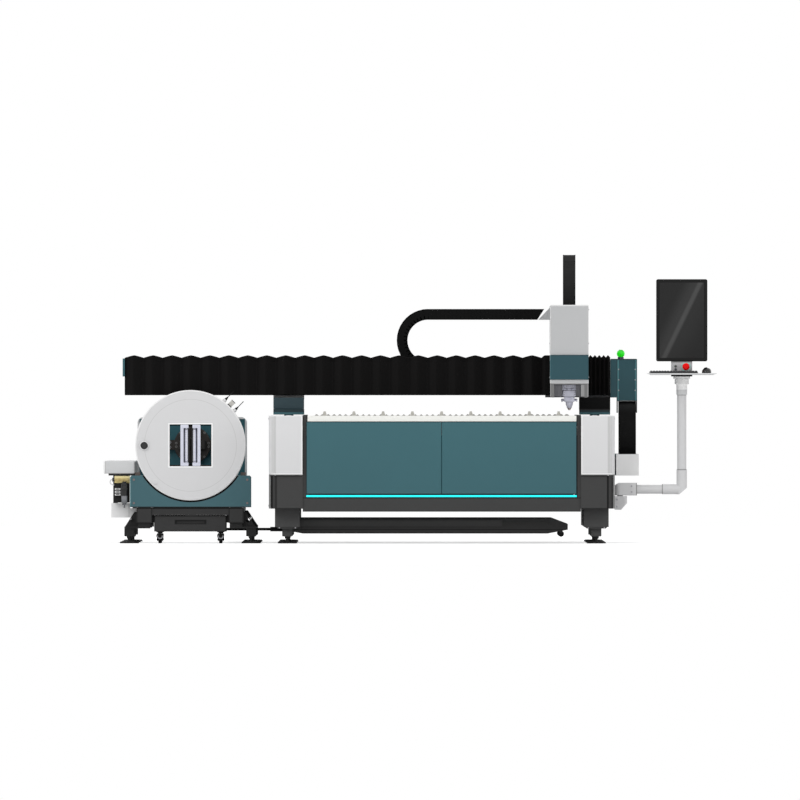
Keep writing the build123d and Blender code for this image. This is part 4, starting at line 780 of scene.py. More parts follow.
def chain_finish(name, low, high, lower, upper):
    """Black nylon with faint random scuffs, painted lighter from one height to another as light from above, with darker
    lips.
    """
    material, shader, place = new_finish(name, 0.5, specular=0.06)
    scuff = noise(place, 25.0, 3.0)
    body = (0.8 + scuff * 0.4).shade(axes(place)[2].rise(low, high).blend(srgb(lower), srgb(upper)))
    lip = place.node("Attribute", {"attribute_name": "lip"}, {}, output="Fac")
    connect(lip.blend(body, srgb(4)), shader, "Base Color")
    connect(0.42 + scuff * 0.25, shader, "Roughness")
    bumped(shader, noise(place, 600.0), 0.00005)
    return material


def outer_length(pitch, radius, height):
    """Length of a link in a bend, so that the outer edges of its neighbours meet."""
    return pitch * (radius + height / 2) / radius * 1.02


# The chains are painted darker low and lighter high, as painted light from above.
x_nylon = chain_finish("chain_nylon_across", 1.1, 1.6, 16, 17)
y_nylon = chain_finish("chain_nylon_along", 0.845, 0.92, 17, 52)
z_nylon = chain_finish("chain_nylon_upright", 1.42, 1.86, 18, 46)

# across the beam
LINK_PITCH = 0.0264
x_low, x_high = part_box("x_drag_chain")
X_MIDDLE, X_WIDTH, X_HEIGHT = (x_low[1] + x_high[1]) / 2, x_high[1] - x_low[1] - 0.0016, 0.069
X_BEND, X_LOWER, X_UPPER, X_CLAMP, X_FIXED = 0.118, 1.152, 1.4895, 1.138, 1.240
X_SEEN_END, X_HIDDEN_START = 0.878, 0.915
CUT_MIDDLE, CUT_AWAY = (0.8515, 0, 1.4890), Vector((1, 0, -0.643)).normalized()


def along_x(along, height, angle):
    return Matrix.Translation((along, X_MIDDLE, height)) @ Matrix.Rotation(-angle, 4, "Y")


x_link = chain_link(LINK_PITCH, X_WIDTH, X_HEIGHT, x_nylon)
seen_links = link_count(X_SEEN_END - X_BEND, LINK_PITCH)
seen_run = strung("seen_run", x_link, straight_run((X_BEND, X_UPPER), (X_SEEN_END, X_UPPER), seen_links, along_x),
                  x_nylon)
cut_off(seen_run, CUT_MIDDLE, CUT_AWAY)
hidden_links = link_count(X_CLAMP - X_HIDDEN_START, LINK_PITCH)
hidden_places = straight_run((X_HIDDEN_START, X_UPPER), (X_CLAMP, X_UPPER), hidden_links, along_x)
hidden_run = strung("hidden_run", x_link, hidden_places, x_nylon)
x_upper = joined("x_chain_upper", [seen_run, hidden_run], x_nylon)
x_radius = (X_UPPER - X_LOWER) / 2
x_loop_places = bend_run((X_BEND, X_LOWER + x_radius), x_radius, link_count(pi * x_radius, LINK_PITCH), 90, 270,
                         along_x)
x_bend_link = chain_link(outer_length(LINK_PITCH, x_radius, X_HEIGHT), X_WIDTH, X_HEIGHT, x_nylon)
x_loop = strung("x_chain_loop", x_bend_link, x_loop_places, x_nylon)
x_lower_places = straight_run((X_BEND, X_LOWER), (X_FIXED, X_LOWER), link_count(X_FIXED - X_BEND, LINK_PITCH), along_x)
x_lower = strung("x_chain_lower", x_link, x_lower_places, x_nylon)
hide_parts("x_drag_chain")
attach(x_upper, "carriage")
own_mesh(x_upper)
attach(x_loop, "x_chain")
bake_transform(x_lower)

# along the bed
y_low, y_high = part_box("y_drag_chain")
Y_MIDDLE, Y_WIDTH, Y_HEIGHT = (y_low[0] + y_high[0]) / 2, y_high[0] - y_low[0] - 0.0016, 0.070
Y_BEND, Y_LOWER, Y_UPPER, Y_CLAMP, Y_FIXED = -1.450, 0.483, 0.891, -1.400, 0.100
PACKED_LINKS, GANTRY_TRAVEL = 26, 3.0


def along_y(along, height, angle):
    place = Matrix.Translation((Y_MIDDLE, along, height))
    return place @ Matrix.Rotation(angle, 4, "X") @ Matrix.Rotation(pi / 2, 4, "Z")


y_radius = (Y_UPPER - Y_LOWER) / 2
y_link = chain_link(LINK_PITCH, Y_WIDTH, Y_HEIGHT, y_nylon)
y_bend_link = chain_link(outer_length(LINK_PITCH, y_radius, Y_HEIGHT), Y_WIDTH, Y_HEIGHT, y_nylon)
y_loop_places = bend_run((Y_BEND, Y_LOWER + y_radius), y_radius, link_count(pi * y_radius, LINK_PITCH), 90, 270,
                         along_y)
y_loop = strung("y_chain_loop", y_bend_link, y_loop_places, y_nylon)
y_lower_places = straight_run((Y_BEND, Y_LOWER), (Y_FIXED, Y_LOWER), link_count(Y_FIXED - Y_BEND, LINK_PITCH), along_y)
y_lower = strung("y_chain_lower", y_link, y_lower_places, y_nylon)
packed_link = chain_link((Y_CLAMP - Y_BEND) / PACKED_LINKS, Y_WIDTH, Y_HEIGHT, y_nylon)
packed_places = straight_run((Y_BEND, Y_UPPER), (Y_CLAMP, Y_UPPER), PACKED_LINKS, along_y)
y_upper = strung("y_chain_upper", packed_link, packed_places, y_nylon)
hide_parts("y_drag_chain")
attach(y_loop, "y_chain")
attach(y_lower, "bed")
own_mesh(y_lower)
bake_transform(y_upper)

# beside the head
z_low, z_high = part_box("z_drag_chain")
Z_MIDDLE, Z_RADIUS = (z_low[0] + z_high[0]) / 2, 0.034
Z_FRONT, Z_BACK, Z_TOP, Z_START, Z_END, Z_PITCH = -1.745, -1.677, 1.8315, 1.400, 1.500, 0.021


def upright(along, height, angle):
    place = Matrix.Translation((Z_MIDDLE, along, height))
    return place @ Matrix.Rotation(angle, 4, "X") @ Matrix.Rotation(pi / 2, 4, "Z")


Z_WIDTH, Z_HEIGHT = z_high[0] - z_low[0] - 0.0012, 0.020
z_link = chain_link(Z_PITCH, Z_WIDTH, Z_HEIGHT, z_nylon, plate=0.008, lip=0.003)
z_bend_link = chain_link(outer_length(Z_PITCH, Z_RADIUS, Z_HEIGHT), Z_WIDTH, Z_HEIGHT, z_nylon, plate=0.008, lip=0.003)
z_places = straight_run((Z_FRONT, Z_START), (Z_FRONT, Z_TOP), link_count(Z_TOP - Z_START, Z_PITCH), upright)
z_places += straight_run((Z_BACK, Z_TOP), (Z_BACK, Z_END), link_count(Z_TOP - Z_END, Z_PITCH), upright)
z_bend_places = bend_run(((Z_FRONT + Z_BACK) / 2, Z_TOP), Z_RADIUS, 5, 180, 0, upright)
z_chain = joined("z_chain", [strung("z_straight", z_link, z_places, z_nylon),
                             strung("z_bend", z_bend_link, z_bend_places, z_nylon)], z_nylon)
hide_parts("z_drag_chain")
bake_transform(z_chain)
for pattern in (x_link, x_bend_link, y_link, y_bend_link, packed_link, z_link, z_bend_link):
    bpy.data.objects.remove(pattern)

# Head housing. A folded and painted sheet cover with a teal front plate, over the saddle that rides
# on the beam's rails.
cover_high, plate_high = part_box("head_cover")[1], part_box("head_plate")[1]
COVER_LEFT, COVER_FACE = 0.910, -1.878
# Painted highlights along the cover's top and down both its side edges, and a highlight line at 1.058 to 1.070 m; the
# cover is darker from 1.0 to 1.04 m.
cover_areas = [(box_area(z=(cover_high[2] - 0.008, 1.6)), srgb(232)),
               (box_area(x=(COVER_LEFT - 0.002, COVER_LEFT + 0.004), y=(-1.9, COVER_FACE)), srgb(222)),
               (box_area(x=(cover_high[0] - 0.004, 1.2), y=(-1.9, COVER_FACE)), srgb(214)),
               (box_area(z=(1.0, 1.040)), srgb(150)), (box_area(z=(1.058, 1.070)), srgb(214))]
cover_paint = powder_coat("head_cover_paint", srgb(192, 193, 194), roughness=0.5, cloudiness=0.02, areas=cover_areas)
coat(cover_paint, "head_cover", "carriage_plate")
# Painted light and shade on the front plate: darker along its top edge, a highlight down its left edge and shade down
# its right edge.
head_areas = [(box_area(z=(plate_high[2] - 0.006, 1.3)), srgb(26, 60, 70)),
              (box_area(x=(0.90, 0.9135)), srgb(60, 112, 122)),
              (box_area(x=(plate_high[0] - 0.004, 1.2)), srgb(34, 66, 74))]
coat(powder_coat("head_plate_paint", srgb(39, 77, 86), areas=head_areas), "head_plate")
side_places = [((x, y, z), (way, 0, 0)) for x, way in ((cover_high[0], 1), (COVER_LEFT, -1))
               for y in (-1.855, -1.66) for z in (1.08, 1.30, 1.52)]
side_places += [((x, -1.150, z), REAR) for x in (0.935, 1.135) for z in (1.27, 1.52)]
screws("head_cover_screws", "carriage", "head_cover", 0.0045, 0.003, side_places)

# Shroud. A grey painted frame round the nozzle that keeps the sparks in, with soft brush seals hung in front of its
# inner walls, which are painted darker as the shade in the recess.
shroud_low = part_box("head_shroud")[0]
# Painted shade darkens the recess round the nozzle, and painted highlights run down the frame's outer left and right
# edges; a darker band runs along its bottom.
shroud_areas = [(box_area(x=(0.936, 1.106), y=(-2, -1.72)), srgb(96, 96, 98)),
                (box_area(x=(0.908, 0.914)), srgb(190)), (box_area(x=(1.154, 1.2)), srgb(180)),
                (box_area(z=(0.94, 0.953)), srgb(110))]
coat(powder_coat("shroud_paint", srgb(118), areas=shroud_areas), "head_shroud")
brush, brush_shader, brush_place = new_finish("brush_seal", 0.8, specular=0.15)
hairs = drawn_out(brush_place, 900, 900, 12)
connect((0.45 + hairs * 1.0).shade(srgb(104, 104, 108)), brush_shader, "Base Color")
bumped(brush_shader, hairs, 0.001)
SEAL_Y = -1.862
strips = []
for left, right in ((0.936, 0.990), (1.078, 1.108)):
    seal = block((left, SEAL_Y - 0.006, 0.956), (right, SEAL_Y, 1.034), bevel=0.001)
    edit(seal, lambda centre, normal: normal.y < -0.9)
    bpy.ops.mesh.subdivide(number_cuts=11)
    finish_edit()
    for corner in seal.data.vertices:
        if corner.co.y < SEAL_Y - 0.005:
            corner.co.y += 0.0016 * sin(corner.co.x * 2 * pi / 0.0075)
    strips.append(seal)
fitted(joined("brush_seals", strips, brush), "carriage", "head_shroud")
post = block((1.110, shroud_low[1] + 0.001, 0.954), (1.1345, shroud_low[1] + 0.004, 1.036))
fitted(joined("shroud_post", [post], powder_coat("shroud_post_paint", srgb(150))), "carriage", "head_shroud")

# Cutting head. Machined and anodised aluminium blocks bolted in a stack: a wide mounting flange, the
# focusing housing with a setting knob on either side, the sensor cone and the turned copper nozzle.
anodised, anodised_shader, anodised_place = new_finish("anodised_head", 0.35, metallic=0.2)
turning = drawn_out(anodised_place, 3, 3, 1400)
NOZZLE_X, NOZZLE_Y = 1.035, -1.775
anodised_z = axes(anodised_place)[2]
copper_part = 1 - anodised_z.rise(0.8795, 0.8805)
joints_between = sum((anodised_z.between(z, z + 0.0016, 0.0004) for z in (0.918, 0.953, 0.992, 1.009)), 0.0)
metal = copper_part.blend(srgb(214, 215, 230), srgb(200, 188, 188))
connect(joints_between.blend(metal, srgb(60, 60, 70)), anodised_shader, "Base Color")
connect(0.25 + turning * 0.25, anodised_shader, "Roughness")
bumped(anodised_shader, turning, 0.00003)
coat(anodised, "laser_head")


def prism(corners, y, bevel=0.002):
    """A block with an outline seen from the front, (x, z) points about the nozzle's axis."""
    deselect()
    mesh = bpy.data.meshes.new("prism")
    mesh.from_pydata([(NOZZLE_X + x, y[0], z) for x, z in corners], [], [list(range(len(corners)))])
    piece = bpy.data.objects.new("prism", mesh)
    bpy.context.collection.objects.link(piece)
    edit(piece, lambda centre, normal: True)
    bpy.ops.mesh.extrude_region_move(TRANSFORM_OT_translate={"value": (0, y[1] - y[0], 0)})
    bpy.ops.mesh.select_all(action="SELECT")
    bpy.ops.mesh.normals_make_consistent(inside=False)
    finish_edit()
    apply_modifier(piece, "BEVEL", width=bevel, segments=2)
    return piece


def mirrored(points):
    """An outline closed by its mirror image about the nozzle's axis."""
    return points + [(-x, z) for x, z in reversed(points)]


flange = prism(mirrored([(0.052, 1.032), (0.057, 1.027), (0.057, 1.013), (0.050, 1.010)]), (-1.815, -1.735))
waist = prism(mirrored([(0.044, 1.011), (0.048, 1.004), (0.040, 0.993)]), (-1.806, -1.744))
housing = prism(mirrored([(0.038, 0.994), (0.042, 0.990), (0.042, 0.957), (0.036, 0.952)]), (-1.812, -1.738), 0.003)
cone_top = prism(mirrored([(0.031, 0.953), (0.034, 0.949), (0.034, 0.922), (0.024, 0.917)]), (-1.801, -1.749), 0.003)
cone = turned([(0.0, 0.9185), (0.0225, 0.9185), (0.0235, 0.905), (0.017, 0.889), (0.016, 0.882), (0.0095, 0.874),
               (0.0085, 0.868), (0.0, 0.868)],
              (NOZZLE_X, NOZZLE_Y, 0))
knob_profile = [(0.0, 0.0), (0.007, 0.0), (0.007, 0.008), (0.013, 0.010), (0.0145, 0.013), (0.0145, 0.022),
                (0.012, 0.025), (0.0, 0.025)]
right_knob = turned(knob_profile, (NOZZLE_X + 0.039, NOZZLE_Y, 0.976), "X")
left_knob = turned([(radius, -along) for radius, along in knob_profile], (NOZZLE_X - 0.036, NOZZLE_Y, 0.9655), "X")
small_profile = [(0.0, 0.0), (0.004, 0.0), (0.004, 0.012), (0.008, 0.014), (0.008, 0.022), (0.0, 0.022)]
small_right = turned(small_profile, (NOZZLE_X + 0.030, NOZZLE_Y - 0.008, 0.930), "X", 20)
small_left = turned([(radius, -along) for radius, along in small_profile], (NOZZLE_X - 0.030, NOZZLE_Y - 0.008, 0.928),
                    "X", 20)
stack = joined("head_stack", [flange, waist, housing, cone_top, cone, right_knob, left_knob, small_right, small_left],
               anodised)
fitted(stack, "cutting_head", "laser_head")
stack_bolts = [((NOZZLE_X + x, -1.815, 1.020), FRONT) for x in (-0.048, -0.018, 0.018, 0.048)]
stack_bolts += [((NOZZLE_X + x, -1.812, z), FRONT) for x in (-0.033, 0.033) for z in (0.966, 0.982)]
screws("head_stack_bolts", "cutting_head", "laser_head", 0.003, 0.0025, stack_bolts)

# Tube frame. Square tubes, gussets and foot blocks welded together beside the bed, with a drawer on
# castors between them.
tube_areas = [(box_area(x=(tube, tube + 0.007), y=(-3, -1.68)), srgb(34)) for tube in (-1.778, -1.684, -1.179, -1.089)]
tube_areas += [(box_area(z=(0.131, 0.139), y=(-3, -1.68)), srgb(34)), (box_area(z=(0.0, 0.131)), srgb(34)),
               (box_area(z=(0.224, 0.237)), srgb(16)),
               (box_area(x=(-2, -1.7785)), srgb(30)), (box_area(x=(-1.0815, -0.9)), srgb(34))]
coat(powder_coat("tube_frame_paint", srgb(53), specular=0.2, areas=tube_areas), "tube_frame")
GRIP_X, GRIP_Z = (-1.527, -1.326), (0.126, 0.151)
drawer_areas = [(box_area(z=(0.174, 0.19), y=(-3, -1.65)), srgb(40)), (box_area(z=(0.0, 0.0815)), srgb(34)),
                (box_area(x=(GRIP_X[0] - 0.003, GRIP_X[1] + 0.003), z=(GRIP_Z[0] - 0.003, GRIP_Z[1] + 0.003),
                          y=(-3, -1.64)), srgb(36)),
                (box_area(x=(GRIP_X[0] + 0.010, GRIP_X[1] - 0.010), z=(GRIP_Z[0] + 0.004, GRIP_Z[1] - 0.004),
                          y=(-3, -1.64)), srgb(54))]
coat(powder_coat("dark_drawer_paint", srgb(54), specular=0.2, areas=drawer_areas), "tube_drawer")
seal = block((-1.655, -1.668, 0.1795), (-1.20, -1.655, 0.1838))
fitted(joined("drawer_seal", [seal], nylon), "tube_drawer", "tube_drawer")
runners = [block((low, -1.66, 0.135), (high, -1.0, 0.184)) for low, high in ((-1.677, -1.6638), (-1.1932, -1.179))]
fitted(joined("drawer_runners", runners, nylon), "bed", "tube_frame")

# Castors. Twin swivel castors under the drawer: a black nylon hood over a black nylon fork, a plated ring, and a rubber
# wheel on its pin.
chrome = mottled("plated_castor_steel", srgb(150, 150, 154), (0.85, 0.3, 50.0), (0.2, 0.2, 90.0),
                 roughness=0.25, metallic=0.7)
coat(nylon, "castor_fork_left", "castor_fork_right")
tread = mottled("castor_rubber", srgb(16), (0.8, 0.4, 60.0), grain=(300.0, 0.0001), roughness=0.8, specular=0.15)
coat(tread, "castor_wheel_left", "castor_wheel_right", "rear_castor_wheels")
CASTOR_Y = -1.625
for side, castor_x in (("left", -1.626), ("right", -1.231)):
    ring = turned([(0.0125, -0.004), (0.0195, -0.004), (0.0205, -0.002), (0.0205, 0.002), (0.0125, 0.002),
                   (0.0125, -0.004)],
                  (castor_x, CASTOR_Y - 0.0085, 0.048), "Y")
    hood = turned([(0.0, 0.003), (0.0235, 0.003), (0.0235, -0.001), (0.0205, -0.003), (0.0205, 0.001), (0.0, 0.001)],
                  (castor_x, CASTOR_Y - 0.0085, 0.048), "Y")
    stem = turned([(0.0, 0.061), (0.015, 0.061), (0.013, 0.064), (0.013, 0.071), (0.0, 0.071)], (castor_x, CASTOR_Y, 0))
    fitted(joined("castor_ring_" + side, [ring], chrome), "castor_fork_" + side, "castor_fork_" + side)
    fitted(joined("castor_hood_" + side, [hood, stem], nylon), "castor_fork_" + side, "castor_fork_" + side)

# Chuck base. A teal pedestal cut out round the disc and screwed to the tubes, with two ground blocks
# on top for the drum.
CHUCK_X, CHUCK_Z, DISC_RADIUS = -1.427, 0.6376, 0.359
# Painted shadow fills the cut round the disc, so that the gap round it shows black; a painted highlight runs down the
# pedestal's left edge and painted shade down its right edge.
base_areas = [(ring_area(CHUCK_X, CHUCK_Z, -1.0, DISC_RADIUS + 0.0115), srgb(12)),
              (box_area(z=(0.4412, 0.47)), srgb(98, 87, 83)), (box_area(z=(0.20, 0.2395)), srgb(30, 42, 46)),
              (box_area(x=(-2, -1.816), y=(-3, -1.69)), srgb(92, 138, 144)),
              (box_area(x=(-1.037, -1.0), y=(-3, -1.69)), srgb(40, 68, 76))]
base_areas += [(ring_area(x, z, -1.0, 0.0075), srgb(122, 112, 112)) for x in (-1.795, -1.058) for z in (0.262, 0.414)]
coat(powder_coat("chuck_base_paint", srgb(62, 99, 107), areas=base_areas), "chuck_base")

# Front chuck. A turned and painted disc closes the tube's path, and two machined jaw frames with
# upright rollers grip the tube in its square window.
WINDOW = 0.136
KNOB_X, KNOB_Z = -1.728, 0.636
wide = WINDOW + 0.0085
# Painted highlights on the disc's rim and round the window's edge, and painted shade on the window's inner walls.
disc_areas = [(ring_area(CHUCK_X, CHUCK_Z, 0.3515, 0.40), srgb(246)),
              (ring_area(CHUCK_X, CHUCK_Z, 0.2975, 0.3005), srgb(203)),
              (box_area(x=(CHUCK_X - wide, CHUCK_X + wide), z=(CHUCK_Z - wide, CHUCK_Z + wide)), srgb(252)),
              (box_area(x=(CHUCK_X - WINDOW + 0.0002, CHUCK_X + WINDOW - 0.0002),
                        z=(CHUCK_Z - WINDOW - 0.01, CHUCK_Z + WINDOW + 0.01),
                        y=(-1.6985, -1.0)), srgb(20)),
              (ring_area(KNOB_X, KNOB_Z, 0.0238, 0.030), srgb(250)),
              (ring_area(KNOB_X, KNOB_Z, -1.0, 0.0238), srgb(28)),
              (ring_area(KNOB_X, KNOB_Z, -1.0, 0.0165), srgb(42)),
              (ring_area(-1.658, 0.402, 0.0125, 0.0155), srgb(226))]
coat(powder_coat("chuck_disc_paint", srgb(220, 220, 221), roughness=0.45, cloudiness=0.012, areas=disc_areas),
     "chuck_disc")
# Near-black nylon strips round the inside of the window stand for the shadow along its edges.
shade_strips = [block((CHUCK_X - WINDOW, -1.6345, CHUCK_Z + low), (CHUCK_X + WINDOW, -1.6285, CHUCK_Z + high))
          for low, high in ((-WINDOW, -WINDOW + 0.0085), (WINDOW - 0.0085, WINDOW))]
shade_strips += [block((CHUCK_X + low, -1.6345, CHUCK_Z - WINDOW), (CHUCK_X + high, -1.6285, CHUCK_Z + WINDOW))
           for low, high in ((-WINDOW, -WINDOW + 0.0028), (WINDOW - 0.0028, WINDOW))]
shade_strips += [block((CHUCK_X - 0.012, -1.6345, CHUCK_Z + low), (CHUCK_X + 0.012, -1.6285, CHUCK_Z + high))
           for low, high in ((-WINDOW, -WINDOW + 0.016), (WINDOW - 0.016, WINDOW))]
fitted(joined("window_wipers", shade_strips, nylon), "front_chuck", "chuck_disc")
flange_places = []
for k in range(12):
    angle = radians(15 + 30 * k)
    flange_places.append(((CHUCK_X + 0.335 * cos(angle), -1.650, CHUCK_Z + 0.335 * sin(angle)), REAR))
screws("disc_back_screws", "front_chuck", "chuck_disc", 0.007, 0.006, flange_places)

milled, milled_shader, milled_place = new_finish("milled_aluminium", 0.35, metallic=0.25)
cutter = drawn_out(milled_place, 500, 500, 12)
connect((0.92 + cutter * 0.16).shade(srgb(218, 220, 234)), milled_shader, "Base Color")
connect(0.25 + cutter * 0.25, milled_shader, "Roughness")
bumped(milled_shader, cutter, 0.00003)
coat(milled, "chuck_jaw_left", "chuck_jaw_right")
roller_steel, roller_shader, roller_place = new_finish("ground_roller_steel", 0.25, metallic=0.4)
rolled = drawn_out(roller_place, 20, 20, 900)
roller_z = axes(roller_place)[2]
groove = sum((roller_z.between(CHUCK_Z + z, CHUCK_Z + z + 0.003, 0.0005) for z in (-0.105, 0.102)), 0.0)
connect(groove.blend(srgb(226, 227, 236), srgb(70, 70, 76)), roller_shader, "Base Color")
connect(0.2 + rolled * 0.2, roller_shader, "Roughness")
coat(roller_steel, "jaw_roller_left", "jaw_roller_right")
for side, name in ((-1, "left"), (1, "right")):
    low, high = sorted((CHUCK_X + side * 0.013, CHUCK_X + side * 0.045))
    back = block((low, -1.6420, CHUCK_Z - 0.113), (high, -1.6385, CHUCK_Z + 0.113))
    fitted(joined("jaw_pocket_" + name, [back], nylon), "chuck_jaw_" + name, "chuck_jaw_" + name)

# Drum. The standing bearing housing behind the disc, with an air ring and two push-in fittings on its
# rim, one on each side of a grey connector block.
FITTING_ANGLE, FITTING_SPREAD = radians(44.5), 0.046
drum_paint = powder_coat("drum_paint", srgb(86, 88, 92), specular=0.3, cloudiness=0.1)
drum = turned([(0.196, -1.640), (0.345, -1.640), (0.345, -1.608), (0.300, -1.608), (0.300, -1.450), (0.285, -1.450),
               (0.285, -1.425), (0.196, -1.425), (0.196, -1.640)], (CHUCK_X, 0, CHUCK_Z), "Y", 96)
drum = fitted(joined("drum_housing", [drum], drum_paint), "bed", "chuck_drum")
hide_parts("chuck_drum")
rim_place = Matrix.Translation((CHUCK_X, -1.624, CHUCK_Z)) @ Matrix.Rotation(FITTING_ANGLE, 4, "Y")
white_parts = [turned([(0.0, 0.338), (0.0125, 0.338), (0.0125, 0.368), (0.0105, 0.372), (0.0, 0.372)],
                      (side * FITTING_SPREAD, 0, 0), "Z", 24)
               for side in (-1, 1)]
dark_parts = [turned([(0.0, 0.371), (0.0085, 0.371), (0.0085, 0.380), (0.0055, 0.382), (0.0055, 0.392), (0.0025, 0.393),
                      (0.0025, 0.445), (0.0, 0.445)], (side * FITTING_SPREAD, 0, 0), "Z", 20) for side in (-1, 1)]
dark_parts.append(block((-0.0165, -0.013, 0.338), (0.0165, 0.013, 0.364), bevel=0.002))
dark_parts.append(block((-0.0165, -0.013, 0.3965), (0.0165, 0.013, 0.4005), bevel=0.001))
grey_block = block((-0.015, -0.014, 0.3635), (0.015, 0.014, 0.397), bevel=0.002)
for name, pieces, finish in (("air_fittings", white_parts, powder_coat("fitting_white", srgb(236), roughness=0.3)),
                             ("air_fitting_stems", dark_parts, nylon),
                             ("air_connector", [grey_block], powder_coat("connector_grey", srgb(202, 200, 194)))):
    fitting = joined(name, pieces, finish)
    fitting.data.transform(rim_place)
    fitted(fitting, "bed", "chuck_drum")
drum_screws = []
for k in range(12):
    angle = radians(30 * k)
    drum_screws.append(((CHUCK_X + 0.292 * cos(angle), -1.450, CHUCK_Z + 0.292 * sin(angle)), REAR))
    drum_screws.append(((CHUCK_X + 0.24 * cos(angle), -1.425, CHUCK_Z + 0.24 * sin(angle)), REAR))
screws("drum_screws", "bed", "chuck_drum", 0.007, 0.007, drum_screws)

# Rear chuck. A painted housing pushes the tube along the rails, with a light rim round its teal face,
# a blackened disc in its bore and hardened clamp jaws with tall bolted pads.
rear_low, rear_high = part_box("rear_chuck_housing")
RIM = 0.0125
rear_face = box_area(x=(rear_low[0] + RIM, rear_high[0] - RIM), z=(rear_low[2] + RIM, rear_high[2] - RIM))
rear_inside = ring_area(CHUCK_X, CHUCK_Z, 0.109, 0.121)
rear_paint = powder_coat("rear_housing_paint", srgb(206, 207, 208), cloudiness=0.02,
                         areas=[(rear_face, srgb(34, 84, 94)), (rear_inside, srgb(24, 44, 50))])
coat(rear_paint, "rear_chuck_housing")
blackened = mottled("blackened_steel", srgb(46, 44, 43), (0.8, 0.4, 35.0, 4.0), (0.35, 0.25, 80.0),
                    roughness=0.45, metallic=0.3, specular=0.3)
coat(blackened, "rear_jaw_left", "rear_jaw_right")
bolt_rings = [(ring_area(CHUCK_X + x, CHUCK_Z + z, inner, inner + 0.0045), srgb(104))
              for inner, beside, above in ((0.0035, 0.106, 0.0115), (0.0030, 0.079, 0.079))
              for x in (-beside, beside) for z in (-above, above)]
coat(powder_coat("rear_disc_paint", srgb(44, 41, 39), specular=0.25, areas=bolt_rings), "rear_chuck_disc")
JAW_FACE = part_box("rear_jaw_left")[0][1]
PAD_REACH, BAR_HALF, STOP_FACE, STOP_RADIUS = 0.118, 0.008, JAW_FACE + 0.043, 0.0446
lug_places = [((CHUCK_X + side * 0.150, 0.5635, CHUCK_Z + z), FRONT) for side in (-1, 1) for z in (-0.016, 0.016)]
lug_rings = [turned([(0.0072, 0.0), (0.0105, 0.0), (0.0105, -0.002), (0.0072, -0.002), (0.0072, 0.0)], (x, 0.560, z),
                    "Y", 20)
             for (x, _, z), _ in lug_places]
fitted(joined("lug_rings", lug_rings, plated), "rear_spindle", "rear_chuck_disc")
for side, name in ((-1, "left"), (1, "right")):
    low, high = sorted((CHUCK_X + side * 0.0165, CHUCK_X + side * 0.030))
    pad = block((low, JAW_FACE - 0.012, CHUCK_Z - PAD_REACH), (high, JAW_FACE + 0.004, CHUCK_Z + PAD_REACH))
    fitted(joined("rear_pad_" + name, [pad], blackened), "rear_jaw_" + name, "rear_jaw_" + name)
bar_sides = (CHUCK_X - BAR_HALF, CHUCK_X + BAR_HALF)
centre_bar = [block((bar_sides[0], JAW_FACE + near, CHUCK_Z + low), (bar_sides[1], JAW_FACE + far, CHUCK_Z + high))
              for near, far, low, high in ((-0.014, -0.001, -PAD_REACH, PAD_REACH),
                                           (-0.002, 0.0395, -PAD_REACH, -0.088), (-0.002, 0.0395, 0.088, PAD_REACH))]
tube_stop = turned([(0.0, STOP_FACE), (STOP_RADIUS, STOP_FACE), (STOP_RADIUS, STOP_FACE + 0.004),
                    (0.0, STOP_FACE + 0.004)],
                   (CHUCK_X, 0, CHUCK_Z), "Y", 48)
fitted(joined("rear_centre_bar", [*centre_bar, tube_stop], blackened), "rear_spindle", "rear_chuck_disc")
screws("rear_bar_screws", "rear_spindle", "rear_chuck_disc", 0.0035, 0.002,
       [((CHUCK_X, JAW_FACE - 0.014, CHUCK_Z + 0.0295 * k), FRONT) for k in range(-3, 4)], blackened)
rear_places = [((x, rear_high[1], z), REAR) for x in (rear_low[0] + 0.04, CHUCK_X, rear_high[0] - 0.04)
               for z in (0.32, 0.78)]
screws("rear_housing_screws", "rear_chuck", "rear_chuck_housing", 0.008, 0.006, rear_places)

# Air unit. A painted duct over a brass manifold, a black valve plate with three white connectors, and
# a filter with a black head and a grey bowl.
duct_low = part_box("feed_duct")[0]
# Painted light: a highlight down the duct's left edge, with a darker line beside it, and the low box under the valves,
# 0.16 to 0.262 m, painted near white to make up for the shadow it stands in; the duct is also painted lighter towards
# the top.
duct_areas = [(box_area(x=(-2.1, duct_low[0] + 0.010)), srgb(236)),
              (box_area(x=(duct_low[0] + 0.010, duct_low[0] + 0.014)), srgb(178)),
              (box_area(x=(-1.797, -1.789), z=(0.45, 0.54)), srgb(180)), (box_area(z=(0.453, 0.458)), srgb(170)),
              (box_area(z=(0.44, 0.4535)), srgb(20)), (box_area(z=(0.16, 0.262)), srgb(248)),
              (box_area(x=(-1.829, -1.826), z=(0.16, 0.262)), srgb(200)),
              (box_area(x=(-1.931, -1.899), z=(0.262, 0.4535)), srgb(40))]
coat(powder_coat("duct_paint", srgb(206, 207, 208), cloudiness=0.02, areas=duct_areas, height_shade=(0.455, 0.53, 0.04)),
     "feed_duct")
brass, brass_shader, brass_place = new_finish("brass_block", 0.35, metallic=0.25)
brass_x, _, brass_z = axes(brass_place)
sheen_height = brass_z.rise(0.395, 0.405).blend(srgb(236, 218, 150), srgb(190, 170, 112))
sheen_height = brass_z.rise(0.412, 0.438).blend(sheen_height, srgb(252, 238, 180))
plug_end = 1 - brass_x.rise(-1.9215, -1.9205)
connect(plug_end.blend((0.94 + drawn_out(brass_place, 6, 300, 300) * 0.12).shade(sheen_height), srgb(60)), brass_shader,
        "Base Color")
connect(0.25 + noise(brass_place, 60.0) * 0.2, brass_shader, "Roughness")
coat(brass, "air_manifold")
valve_black = powder_coat("valve_plate_paint", srgb(22), specular=0.2, areas=[
    (box_area(x=(-1.9185, -1.8825), y=(-2, -1.645)), srgb(228))])
coat(valve_black, "valve_panel")
filter_plastic, filter_shader, filter_place = new_finish("filter_plastic", 0.35, specular=0.4)
filter_x, filter_y, filter_z = axes(filter_place)
